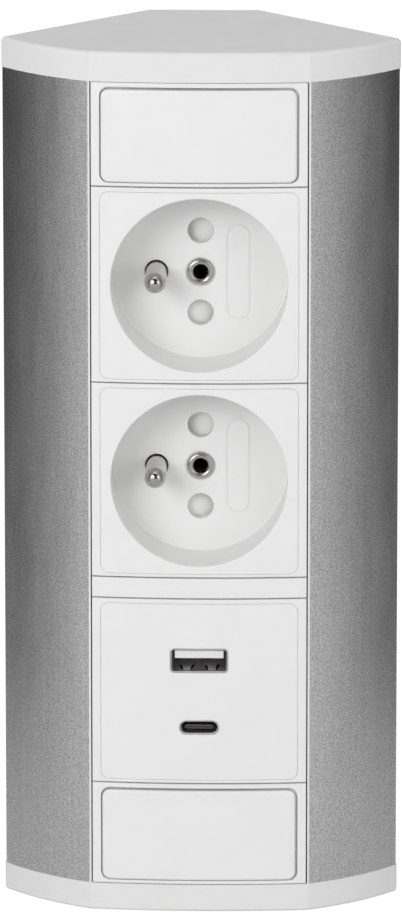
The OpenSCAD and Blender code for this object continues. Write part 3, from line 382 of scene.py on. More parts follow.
        with cls.editing(piece, Hold.FACE):
            for index in range(-cls.strips_aside, cls.strips_aside + 1):
                cls.pick(piece, Hold.FACE, in_skin)
                bpy.ops.mesh.bisect(plane_co=(index * cls.strip * MM, 0.0, 0.0), plane_no=(1.0, 0.0, 0.0))
        for vert in piece.data.vertices:
            x, depth, _ = cls.place(vert.co)
            if depth < FRONT_SKIN:
                vert.co.y -= cls.rise(x) * MM
        piece.data.update()

    @classmethod
    def finish_shape(cls, piece: Piece, angle: float = CREASE_ANGLE) -> Piece:
        """Smooths a finished solid, keeps its creases and evens its normals.

        Args:
            piece: the finished solid.
            angle: the smallest turn, in degrees, that stays a crease.

        Returns:
            The same piece.
        """
        with cls.editing(piece):
            bpy.ops.mesh.select_all(action="SELECT")
            bpy.ops.mesh.remove_doubles(threshold=cls.weld * MM)
            bpy.ops.mesh.normals_make_consistent(inside=False)
        bpy.ops.object.shade_smooth_by_angle(angle=math.radians(angle))
        even = piece.modifiers.new("even_normals", "WEIGHTED_NORMAL")
        even.keep_sharp = True
        bpy.ops.object.modifier_apply(modifier=even.name)
        return piece


class Graph:
    """The node graph of a material or a world, laid out as it is filled."""

    node_step: float = 180.0
    noise_roughness: float = 0.55

    def __init__(self, owner: bpy.types.ID) -> None:
        """Starts with an empty graph.

        Args:
            owner: the new material or world.
        """
        owner.use_nodes = True
        self.tree: bpy.types.NodeTree = owner.node_tree
        self.tree.nodes.clear()

    def add(self, kind: str, **values: object) -> bpy.types.Node:
        """Adds a node and sets its inputs by name.

        Args:
            kind: the node's type name, without the words that all of them begin with.
            **values: input names, with spaces written as underscores, and their values.

        Returns:
            The new node.
        """
        node = self.tree.nodes.new(f"ShaderNode{kind}")
        node.location = (len(self.tree.nodes) * self.node_step, 0.0)
        for name, value in values.items():
            node.inputs[name.replace("_", " ")].default_value = value
        return node

    def link(self, source: Socket, target: Socket) -> None:
        """Links one socket to another."""
        self.tree.links.new(source, target)

    def maths(self, what: Maths, first: Socket, second: Socket | float = 0.0) -> Socket:
        """Works out one value.

        Args:
            what: what is worked out.
            first: its first value.
            second: its second value, a socket or a number.

        Returns:
            The result.
        """
        node = self.add("Math")
        node.operation = what.value
        self.link(first, node.inputs[0])
        if isinstance(second, Socket):
            self.link(second, node.inputs[1])
        else:
            node.inputs[1].default_value = second
        return node.outputs["Value"]

    def axes(self, kind: str, output: str) -> tuple[Socket, Socket, Socket]:
        """Gives the x, y and z of a point, from the node and the output that hold it.

        Args:
            kind: the kind of node that knows the point.
            output: its output for the point.

        Returns:
            The three values.
        """
        parts = self.add("SeparateXYZ")
        self.link(self.add(kind).outputs[output], parts.inputs["Vector"])
        return parts.outputs["X"], parts.outputs["Y"], parts.outputs["Z"]

    def mix(self, factor: Socket, first: Socket, second: Socket, end: str) -> None:
        """Mixes two shaders and ends the graph.

        Args:
            factor: how much of the second shows.
            first: a shader.
            second: a shader.
            end: the kind of output node.
        """
        node = self.add("MixShader")
        for source, target in zip((factor, first, second), node.inputs):
            self.link(source, target)
        self.link(node.outputs["Shader"], self.add(end).inputs["Surface"])

    def noise(self, size: float, detail: float, stretch: Triple = (1.0, 1.0, 1.0)) -> Socket:
        """Adds a noise pattern that stays on the piece.

        Args:
            size: size of its spots in millimetres.
            detail: how many finer layers it has.
            stretch: how many times closer the spots lie along x, y and z.

        Returns:
            The pattern's value, about 0.3 to 0.7.
        """
        mapping = self.add("Mapping", Scale=stretch)
        texture = self.add(
            "TexNoise", Scale=1.0 / (size * MM), Detail=detail, Roughness=self.noise_roughness
        )
        self.link(self.add("TexCoord").outputs["Object"], mapping.inputs["Vector"])
        self.link(mapping.outputs["Vector"], texture.inputs["Vector"])
        return texture.outputs["Fac"]

    def spread(
        self, source: Socket, low: float = 0.0, high: float = 1.0, start: float = 0.3, end: float = 0.7
    ) -> Socket:
        """Maps a pattern onto a range.

        Args:
            source: the pattern.
            low: result at the start of the pattern.
            high: result at its end.
            start: pattern value that gives low.
            end: pattern value that gives high.

        Returns:
            The mapped value.
        """
        ranger = self.add("MapRange", From_Min=start, From_Max=end, To_Min=low, To_Max=high)
        self.link(source, ranger.inputs["Value"])
        return ranger.outputs["Result"]

    def blend(self, factor: Socket, first: Socket | Colour, second: Socket | Colour) -> Socket:
        """Mixes two colours.

        Args:
            factor: how much of the second shows.
            first: a colour or a colour socket.
            second: a colour or a colour socket.

        Returns:
            The mixed colour.
        """
        mix = self.add("Mix")
        mix.data_type = "RGBA"
        sockets = [socket for socket in mix.inputs if socket.type == "RGBA"]
        for socket, value in zip(sockets, (first, second)):
            if isinstance(value, Socket):
                self.link(value, socket)
            else:
                socket.default_value = (*value, 1.0)
        self.link(factor, mix.inputs["Factor"])
        return next(socket for socket in mix.outputs if socket.type == "RGBA")

    def scaled(self, colour: Socket, factor: float) -> Socket:
        """Multiplies a colour by a grey, where 1 changes nothing.

        Args:
            colour: the colour.
            factor: the grey.

        Returns:
            The product.
        """
        node = self.add("VectorMath")
        node.operation = "SCALE"
        node.inputs["Scale"].default_value = factor
        self.link(colour, node.inputs[0])
        return node.outputs["Vector"]


@dataclass(frozen=True)
class Finish:
    """A surface with cloudy colour, a fine grain and an uneven sheen."""

    name: str
    colour: Colour
    roughness: float = 0.45
    metallic: float = 0.0
    cloud: float = 0.03
    cloud_size: float = 14.0
    grain: float = 0.02
    grain_size: float = 0.35
    grain_way: Grain = Grain.EVEN
    sheen_spread: float = 0.06
    sheen_size: float = 6.0
    relief: float = 0.004
    relief_size: float = 0.5
    coat: float = 0.0
    rub: float = 0.0
    rub_share: float = 0.4
    rub_range: Span = (0.62, 0.72)
    rub_colour: Colour = (0.8, 0.8, 0.8)

    def tint(self, factor: float) -> Colour:
        """Gives the colour made lighter or darker by a factor."""
        red, green, blue = (min(1.0, channel * factor) for channel in self.colour)
        return red, green, blue

    def material(self) -> bpy.types.Material:
        """Makes the material once and gives it out again afterwards.

        Returns:
            The material.
        """
        known = bpy.data.materials.get(self.name)
        if known is not None:
            return known
        made = bpy.data.materials.new(self.name)
        graph = Graph(made)
        shader = graph.add("BsdfPrincipled", Metallic=self.metallic, Coat_Weight=self.coat)
        for name, source in self.feeds(graph).items():
            graph.link(source, shader.inputs[name])
        graph.link(shader.outputs["BSDF"], graph.add("OutputMaterial").inputs["Surface"])
        return made

    def feeds(self, graph: Graph) -> dict[str, Socket]:
        """Gives what feeds the shader, by the names of its inputs."""
        return {"Base Color": self.paint(graph), "Roughness": self.sheen(graph), "Normal": self.bumps(graph)}

    def grained(self, graph: Graph, clouds: Socket, fine: Socket, low: float, high: float) -> Socket:
        """Gives the colour with its clouds, and with a fine grain from a low to a high brightness."""
        colour = graph.blend(graph.spread(clouds), self.tint(1.0 - self.cloud), self.tint(1.0 + self.cloud))
        return graph.blend(graph.spread(fine), graph.scaled(colour, low), graph.scaled(colour, high))

    def paint(self, graph: Graph) -> Socket:
        """Gives the colour: clouds, then grain, then rubbed spots.

        Args:
            graph: the material's graph.

        Returns:
            The colour.
        """
        clouds = graph.noise(self.cloud_size, 3.0)
        fine = graph.noise(self.grain_size, 2.0, self.grain_way.value)
        colour = self.grained(graph, clouds, fine, 1.0 - 2.0 * self.grain, 1.0)
        if self.rub > 0.0:
            spots = graph.noise(self.cloud_size * self.rub_share, 5.0)
            colour = graph.blend(graph.spread(spots, 0.0, self.rub, *self.rub_range), colour, self.rub_colour)
        return colour

    def sheen(self, graph: Graph) -> Socket:
        """Gives the roughness, uneven from handling."""
        return graph.spread(graph.noise(self.sheen_size, 4.0), *around(self.roughness, self.sheen_spread))

    def bumps(self, graph: Graph) -> Socket:
        """Gives the fine relief.

        Args:
            graph: the material's graph.

        Returns:
            The normal.
        """
        bump = graph.add("Bump", Strength=1.0, Distance=self.relief * MM)
        graph.link(graph.noise(self.relief_size, 3.0, self.grain_way.value), bump.inputs["Height"])
        return bump.outputs["Normal"]


@dataclass(frozen=True)
class BlastedAluminium(Finish):
    """Blasted and anodised aluminium: drawing lines, bright sparks, a painted highlight on the lips and
    painted shade in the channel.

    The lips' and walls' places are millimetres from the middle, or back from the creases.
    """

    spark: float = 0.5
    spark_size: float = 0.27
    spark_limits: Span = (0.64, 0.74)
    dip_limits: Span = (0.66, 0.76)
    spark_colour: Colour = (0.93, 0.93, 0.93)
    line_size: float = 0.9
    line_stretch: Triple = (1.0, 1.0, 0.012)
    patch_stretch: Triple = (1.0, 1.0, 0.25)
    # Painted highlight on the lips: where it lies, how it fades, its strength, its near-white colour and how
    # metallic it stays.
    lip_place: float = 25.0
    lip_depth: float = 1.6
    lip_highlight_fades: Span = (0.15, 0.2)
    lip_highlight_strength: float = 0.9
    lip_highlight_colour: Colour = (0.97, 0.97, 0.97)
    lip_highlight_metal: float = 0.3
    # Painted shade in the channel's gap beside the modules: its ends across, its front and rear fades, and
    # its near-black colour.
    gap_shade_ends: Span = (24.85, 24.9)
    gap_shade_front: Span = (0.3, 0.6)
    gap_shade_rear: Span = (12.0, 12.5)
    gap_shade_colour: Colour = (0.012, 0.012, 0.012)

    def feeds(self, graph: Graph) -> dict[str, Socket]:
        """Gives what feeds the shader; the lips under their painted highlight are less metallic."""
        metal = graph.spread(self.lip_highlight_mask(graph), 1.0, self.lip_highlight_metal, 0.0, 1.0)
        return {**super().feeds(graph), "Metallic": metal}

    def sparks(self, graph: Graph, top: float, limits: Span) -> Socket:
        """Gives the sparks as a value that reaches a top between two limits of their pattern."""
        return graph.spread(graph.noise(self.spark_size, 0.0), 0.0, top, *limits)

    def sheen(self, graph: Graph) -> Socket:
        """Gives a roughness that falls at the sparks.

        Args:
            graph: the material's graph.

        Returns:
            The roughness.
        """
        patches = graph.noise(self.sheen_size, 4.0, self.patch_stretch)
        wide = graph.spread(patches, *around(self.roughness, self.sheen_spread))
        drop = self.sparks(graph, -0.5 * self.spark * self.roughness, self.dip_limits)
        return graph.maths(Maths.ADD, wide, drop)

    def paint(self, graph: Graph) -> Socket:
        """Gives the metal's colour with its lines, sparks, the painted highlight on the lips and the painted
        shade in the channel.

        Args:
            graph: the material's graph.

        Returns:
            The colour.
        """
        lines = graph.noise(self.line_size, 2.0, self.line_stretch)
        fine = graph.noise(self.grain_size, 1.0)
        colour = self.grained(graph, lines, fine, *around(1.0, self.grain))
        for factor, shade in (
            (self.sparks(graph, self.spark, self.spark_limits), self.spark_colour),
            # Painted highlight on the lips.
            (self.lip_highlight_mask(graph), self.lip_highlight_colour),
            # Painted shade in the channel beside the modules.
            (self.gap_shade_mask(graph), self.gap_shade_colour),
        ):
            colour = graph.blend(factor, colour, shade)
        return colour

    @staticmethod
    def section(graph: Graph) -> tuple[Socket, Socket]:
        """Gives a point's distance from the middle and its place from front to back."""
        across, depth, _ = graph.axes("TexCoord", "Object")
        return graph.maths(Maths.SIZE, across), depth

    def gap_shade_mask(self, graph: Graph) -> Socket:
        """Marks the channel's flanks behind the lips, where painted shade darkens the gap beside the modules.

        Args:
            graph: the material's graph.

        Returns:
            A value that is 1 inside the channel and 0 elsewhere.
        """
        across, depth = self.section(graph)
        value = graph.spread(across, 1.0, 0.0, *(end * MM for end in self.gap_shade_ends))
        for limits, low, high in ((self.gap_shade_front, 0.0, 1.0), (self.gap_shade_rear, 1.0, 0.0)):
            limit = graph.spread(depth, low, high, *(CREASE_Y * MM + end * MM for end in limits))
            value = graph.maths(Maths.MULTIPLY, value, limit)
        return value

    def lip_highlight_mask(self, graph: Graph) -> Socket:
        """Marks the lips beside the channel, which carry a painted highlight, by their place in the profile's
        section.

        Args:
            graph: the material's graph.

        Returns:
            A value that is high on the lips and 0 elsewhere.
        """
        across, depth = self.section(graph)
        place, back = self.lip_place * MM, (self.lip_depth + CREASE_Y) * MM
        near = graph.spread(across, self.lip_highlight_strength, 0.0, place, place + self.lip_highlight_fades[0] * MM)
        front = graph.spread(depth, 1.0, 0.0, back, back + self.lip_highlight_fades[1] * MM)
        return graph.maths(Maths.MULTIPLY, near, front)


ALUMINIUM = BlastedAluminium(
    "satin_aluminium_finish", (0.645, 0.645, 0.647), roughness=0.41, metallic=1.0, cloud=0.035, grain=0.31,
    grain_size=0.3, sheen_spread=0.05, relief=0.042, relief_size=0.36,
)
WHITE = Finish(
    "white_plastic_finish", (0.845, 0.845, 0.84), roughness=0.42, cloud=0.012, grain=0.006, grain_size=0.4,
    sheen_spread=0.07, relief=0.003, relief_size=0.6,
)
CAP_WHITE = Finish(
    "cap_plastic_finish", (0.8, 0.8, 0.795), roughness=0.5, cloud=0.014, grain=0.012, grain_size=0.3,
    relief=0.006, relief_size=0.35,
)
SHUTTER = Finish("shutter_plastic_finish", (0.92, 0.92, 0.905), roughness=0.36, cloud=0.015, grain=0.01)
TONGUE = Finish("tongue_plastic_finish", (0.83, 0.83, 0.82), roughness=0.4, cloud=0.015)
GREY = Finish("grey_plastic_finish", (0.16, 0.165, 0.17), roughness=0.5, cloud=0.05, grain=0.05, relief=0.008)
BLACK = Finish("black_plastic_finish", (0.018, 0.018, 0.019), cloud=0.08, grain=0.08)
PLATED = Finish(
    "plated_brass_finish", (0.54, 0.535, 0.52), roughness=0.13, metallic=1.0, grain=0.03, grain_size=0.5,
    sheen_spread=0.05, sheen_size=2.0, relief=0.0015, relief_size=0.4, rub=0.15, rub_colour=(0.6, 0.56, 0.5),
)
ROLLED = Finish(
    "rolled_rivet_finish", (0.53, 0.525, 0.51), roughness=0.25, metallic=1.0, cloud=0.04, grain=0.04,
    grain_size=0.4, sheen_size=1.5, relief=0.002, relief_size=0.3,
)
BRASS = Finish(
    "contact_brass_finish", (0.62, 0.45, 0.2), roughness=0.3, metallic=1.0, cloud=0.08, grain=0.06,
    sheen_spread=0.08, sheen_size=3.0, relief=0.003, rub=0.35, rub_colour=(0.34, 0.24, 0.13),
)
GILT = Finish(
    "gilt_contact_finish", (0.84, 0.72, 0.5), roughness=0.2, metallic=1.0, cloud=0.04, grain=0.04,
    grain_size=0.2, sheen_size=1.0, relief=0.001,
)
# Less golden than GILT, and darker and rougher: painted shade of the slim port's inside, laid on its
# contacts.
SHADED_GILT = replace(GILT, name="slim_contact_finish", colour=(0.34, 0.31, 0.25), roughness=0.5)
SHELL = Finish(
    "shell_steel_finish", (0.74, 0.74, 0.75), roughness=0.44, metallic=1.0, grain=0.06, grain_size=0.25,
    grain_way=Grain.ACROSS, sheen_spread=0.08, sheen_size=2.0, relief=0.0015, relief_size=0.2,
)
STEEL = Finish(
    "zinc_steel_finish", (0.6, 0.61, 0.63), roughness=0.3, metallic=1.0, cloud=0.06, grain=0.08,
    sheen_spread=0.1, sheen_size=1.5, relief=0.003, rub=0.3, rub_colour=(0.42, 0.42, 0.43),
)
BOARD = Finish(
    "circuit_board_finish", (0.014, 0.11, 0.04), roughness=0.3, cloud=0.12, cloud_size=4.0, grain=0.15,
    grain_size=0.5, grain_way=Grain.ACROSS, coat=0.3, relief=0.01, relief_size=0.8,
)
SLEEVE = Finish(
    "capacitor_sleeve_finish", (0.02, 0.024, 0.045), roughness=0.25, cloud=0.1, coat=0.2, sheen_size=2.0
)
GREEN = Finish("green_terminal_finish", (0.03, 0.28, 0.09), roughness=0.42, cloud=0.06, grain=0.04)
TRANSFORMER = Finish(
    "tape_wrap_finish", (0.62, 0.44, 0.06), roughness=0.38, cloud=0.08, grain=0.06,
    grain_way=Grain.ACROSS, coat=0.15,
)


def insulation(name: str, colour: Colour) -> Finish:
    """Makes the finish of a wire's soft insulation."""
    return Finish(name, colour, roughness=0.4, cloud=0.05, cloud_size=5.0, grain=0.03, relief=0.006)


BROWN_WIRE = insulation("brown_insulation_finish", (0.16, 0.06, 0.025))
BLUE_WIRE = insulation("blue_insulation_finish", (0.03, 0.12, 0.42))
GREEN_WIRE = insulation("green_insulation_finish", (0.12, 0.36, 0.06))


def dress(finish: Finish, *names: str) -> None:
    """Gives construction nodes that keep their shape a finished surface.

    Args:
        finish: what they are made of.
        *names: the nodes.
    """
    for name in names:
        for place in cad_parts[name].material_slots:
            place.material = finish.material()
        LOG.info("dressed %s in %s", name, finish.name)


def settle(piece: Piece, node: str, finish: Finish = WHITE) -> None:
    """Puts a new piece in the place of a node, dressed and riding on the housing.

    Args:
        piece: the finished piece.
        node: the construction node that it stands for.
        finish: what it is made of.
    """
    piece.data.materials.clear()
    piece.data.materials.append(finish.material())
    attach(piece, "housing")
    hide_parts(node)
    LOG.info("built %s for %s with %d faces", piece.name, node, len(piece.data.polygons))


@dataclass
class Profile:
    """The aluminium extrusion that holds everything, with a lip along each side of its channel that its
    finish lights with a painted highlight.
    """

    channel_half: float = 24.8
    lip_reach: float = 0.2
    lip_depth: float = 1.3
    lip_round: float = 0.1
    near: float = 0.02
    flat_angle: float = 0.4
    long_edge: float = 50.0
    crease_angle: float = 28.0

    def build(self) -> Piece:
        """Copies the extrusion, draws out the two lips beside the modules and smooths it.

        Returns:
            The profile.
        """
        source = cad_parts["aluminium_profile"]
        piece = source.copy()
        piece.data = source.data.copy()
        piece.name = piece.data.name = "winged_profile"
        piece.parent = None
        bpy.context.scene.collection.objects.link(piece)
        with Bench.editing(piece):
            bpy.ops.mesh.select_all(action="SELECT")
            bpy.ops.mesh.remove_doubles(threshold=Bench.weld * MM)
            bpy.ops.mesh.dissolve_limited(angle_limit=math.radians(self.flat_angle))
        with Bench.editing(piece, Hold.FACE):
            for side in SIDES:
                self.select_wall(piece, side)
                cut = (0.0, (self.lip_depth + CREASE_Y) * MM, 0.0)
                bpy.ops.mesh.bisect(plane_co=cut, plane_no=(0.0, 1.0, 0.0))
                count = self.select_wall(piece, side, self.lip_depth + CLOSE)
                move = {"value": (-side * self.lip_reach * MM, 0.0, 0.0)}
                bpy.ops.mesh.extrude_region_move(TRANSFORM_OT_translate=move)
                LOG.info("drew out %d lip faces", count)
        LOG.info("rounded %d lip edges", Bench.bevel(piece, self.lip_round, 2, self.is_lip))
        return Bench.finish_shape(piece, self.crease_angle)

    def select_wall(self, piece: Piece, side: float, depth_limit: float = math.inf) -> int:
        """Selects the faces of one channel wall down to a depth.

        Args:
            piece: the extrusion, in edit mode.
            side: -1 for the left wall and 1 for the right one.
            depth_limit: the greatest depth that a face may reach.

        Returns:
            The number of faces selected.
        """
        wall = side * self.channel_half

        def in_wall(face: bmesh.types.BMFace) -> bool:
            """Tells whether a face lies in the wall and before the limit."""
            places = (Bench.place(vert.co) for vert in face.verts)
            return all(abs(x - wall) < self.near and depth < depth_limit for x, depth, _ in places)

        return Bench.pick(piece, Hold.FACE, in_wall)

    def is_lip(self, edge: EdgeFacts) -> bool:
        """Tells whether an edge is the upright front edge of a lip.

        Args:
            edge: the edge.

        Returns:
            The answer.
        """
        inner = self.channel_half - self.lip_reach
        at_lip = both_ends(lambda x, depth, z: abs(abs(x) - inner) < self.near and depth < self.lip_depth / 2)
        return at_lip(edge) and edge.run(2) > self.long_edge

    def run(self) -> None:
        """Builds and dresses the extrusion."""
        settle(self.build(), "aluminium_profile", ALUMINIUM)


@dataclass
class Caps:
    """The two end caps, their screws, and the cable bushing at the rear."""

    def run(self) -> None:
        """Dresses the caps, which keep their rounded construction shapes."""
        dress(CAP_WHITE, "top_cap", "bottom_cap")
        dress(STEEL, "bottom_cap_screws", "earth_bond_screw")
        dress(BLACK, "cable_bushing", "bushing_nut")


@dataclass
class ModulePlace:
    """Where one module sits in the stack and how its snap frame is sized."""

    bottom: float
    height: float
    frame_half: float = 24.35
    skirt_half: float = 23.6
    flange_depth: float = 3.9
    skirt_depth: float = 8.4
    gap: float = 0.25
    panel_width: float = 44.8
    panel_drop: float = 2.05
    panel_lift: float = 0.875
    panel_corner: float = 2.0
    seat_depth: float = 1.25
    hook_front: float = 5.45
    hook_half: float = 1.8
    hook_reach: float = 0.8
    edge_round: float = 0.22
    rim_round: float = 0.14
    plate_depth: float = 1.2

    @property
    def through(self) -> Span:
        """Front and rear end of a tool that cuts right through behind the front."""
        return OVERRUN / 2, self.skirt_depth + OVERRUN

    @property
    def panel_height(self) -> float:
        """Height of the panel's opening."""
        return self.height - self.panel_drop

    @property
    def panel_middle(self) -> float:
        """Height of the middle of the panel above the desk."""
        return self.bottom + self.panel_lift + self.panel_height / 2

    @property
    def ends(self) -> Span:
        """Lower and upper end of the module's frame."""
        return self.bottom + self.gap / 2, self.bottom + self.height - self.gap / 2

    def add_hooks(self, piece: Piece, shares: tuple[float, ...]) -> None:
        """Adds the snap hooks on both sides.

        Args:
            piece: the frame or strip that carries them.
            shares: their places along its height.
        """
        low, high = self.ends
        reaches = (self.skirt_half - SEAM, self.skirt_half + self.hook_reach)
        depths = (self.hook_front, self.skirt_depth)
        for side in SIDES:
            for share in shares:
                zs = around(low + share * (high - low), self.hook_half)
                hook = Bench.wedge("hook", reaches, depths, zs, side, self.skirt_half)
                Bench.shape(piece, hook, Joinery.ADD)

    def frame_piece(self, name: str, shares: tuple[float, ...], opening: Piece) -> Piece:
        """Builds the snap frame of a module.

        Args:
            name: name of the frame.
            shares: places of its hooks along its height.
            opening: solid that cuts its opening right through.

        Returns:
            The frame.
        """
        low, high = self.ends
        half = self.frame_half
        piece = Bench.block(name, (-half, half), (0.0, self.flange_depth), self.ends)
        skirt_depths = (self.flange_depth - SEAM, self.skirt_depth)
        skirt = Bench.block("skirt", (-self.skirt_half, self.skirt_half), skirt_depths, self.ends)
        Bench.shape(piece, skirt, Joinery.ADD)
        self.add_hooks(piece, shares)
        size = (self.panel_width, self.panel_height)
        for depths in ((-FRONT_OVERRUN, self.seat_depth), (self.flange_depth, self.skirt_depth + OVERRUN)):
            pocket = Bench.slab("pocket", size, self.panel_corner, depths, (0.0, self.panel_middle))
            Bench.shape(piece, pocket, Joinery.CUT)
        Bench.shape(piece, opening, Joinery.CUT)
        outer = both_ends(
            lambda x, depth, z: depth < CLOSE
            and (abs(abs(x) - half) < CLOSE or abs(z - low) < CLOSE or abs(z - high) < CLOSE)
        )
        inner = both_ends(
            lambda x, depth, z: depth < CLOSE and abs(x) < self.panel_width / 2 + CLOSE
            and abs(z - self.panel_middle) < self.panel_height / 2 + CLOSE
        )
        counts = [Bench.bevel(piece, self.edge_round, 2, outer), Bench.bevel(piece, self.rim_round, 2, inner)]
        LOG.info("%s: outer and inner edges rounded: %s", name, counts)
        Bench.curve_front(piece)
        return Bench.finish_shape(piece)

    def through_panel(self, inset: float) -> Piece:
        """Makes the solid that cuts a panel-shaped opening.

        Args:
            inset: how much smaller than the panel it is all round.

        Returns:
            The cutting tool.
        """
        size = (self.panel_width - 2 * inset, self.panel_height - 2 * inset)
        corner = self.panel_corner - inset / 2
        return Bench.slab("opening", size, corner, self.through, (0.0, self.panel_middle))

    def plate(self, name: str, gap: float, corner: float) -> Piece:
        """Builds the flat plate that fills the panel opening, less a gap all round."""
        size = (self.panel_width - 2 * gap, self.panel_height - 2 * gap)
        return Bench.slab(name, size, corner, (0.0, self.plate_depth), (0.0, self.panel_middle), 8)


@dataclass
class BlankModule:
    """A blank cover on its frame, at one end of the stack."""

    place: BlankPlace
    seat: ModulePlace
    gap: float = 0.35
    corner: float = 1.825
    pillow: float = 0.62
    ledge: float = 1.6
    clip_outer: float = 20.6
    clip_thick: float = 1.2
    clip_half: float = 2.5
    clip_front: float = 1.0
    clip_rear: float = 5.6
    clip_catch: float = 3.95
    clip_hook: float = 0.5
    slack: Span = (-0.1, -0.26)

    def cover(self) -> Piece:
        """Builds the softly rounded cover with its two clips.

        Returns:
            The cover.
        """
        piece = self.seat.plate(f"blank_plate_{self.place.value}", self.gap, self.corner)
        zs = around(self.seat.bottom + self.seat.height / 2, self.clip_half)
        arm_reaches = (self.clip_outer - self.clip_thick, self.clip_outer)
        catch_reaches = (self.clip_outer - SEAM, self.clip_outer + self.clip_hook)
        catch_depths = (self.clip_catch, self.clip_rear)
        for side in SIDES:
            arm = Bench.block("arm", arm_reaches, (self.clip_front, self.clip_rear), zs, side)
            Bench.shape(piece, arm, Joinery.ADD)
            catch = Bench.wedge("catch", catch_reaches, catch_depths, zs, side, self.clip_outer)
            Bench.shape(piece, catch, Joinery.ADD)
        Bench.bevel(piece, self.pillow, 5, at_front())
        Bench.curve_front(piece)
        across, up = self.slack
        with Bench.editing(piece):
            bpy.ops.mesh.select_all(action="SELECT")
            bpy.ops.transform.translate(value=(across * MM, 0.0, up * MM))
        return Bench.finish_shape(piece, SOFT_CREASE_ANGLE)

    def run(self) -> None:
        """Builds and dresses the module."""
        place = self.place.value
        opening = self.seat.through_panel(self.ledge)
        surround = self.seat.frame_piece(f"blank_surround_{place}", ONE_HOOK, opening)
        settle(surround, f"blank_frame_{place}")
        settle(self.cover(), f"blank_cover_{place}")


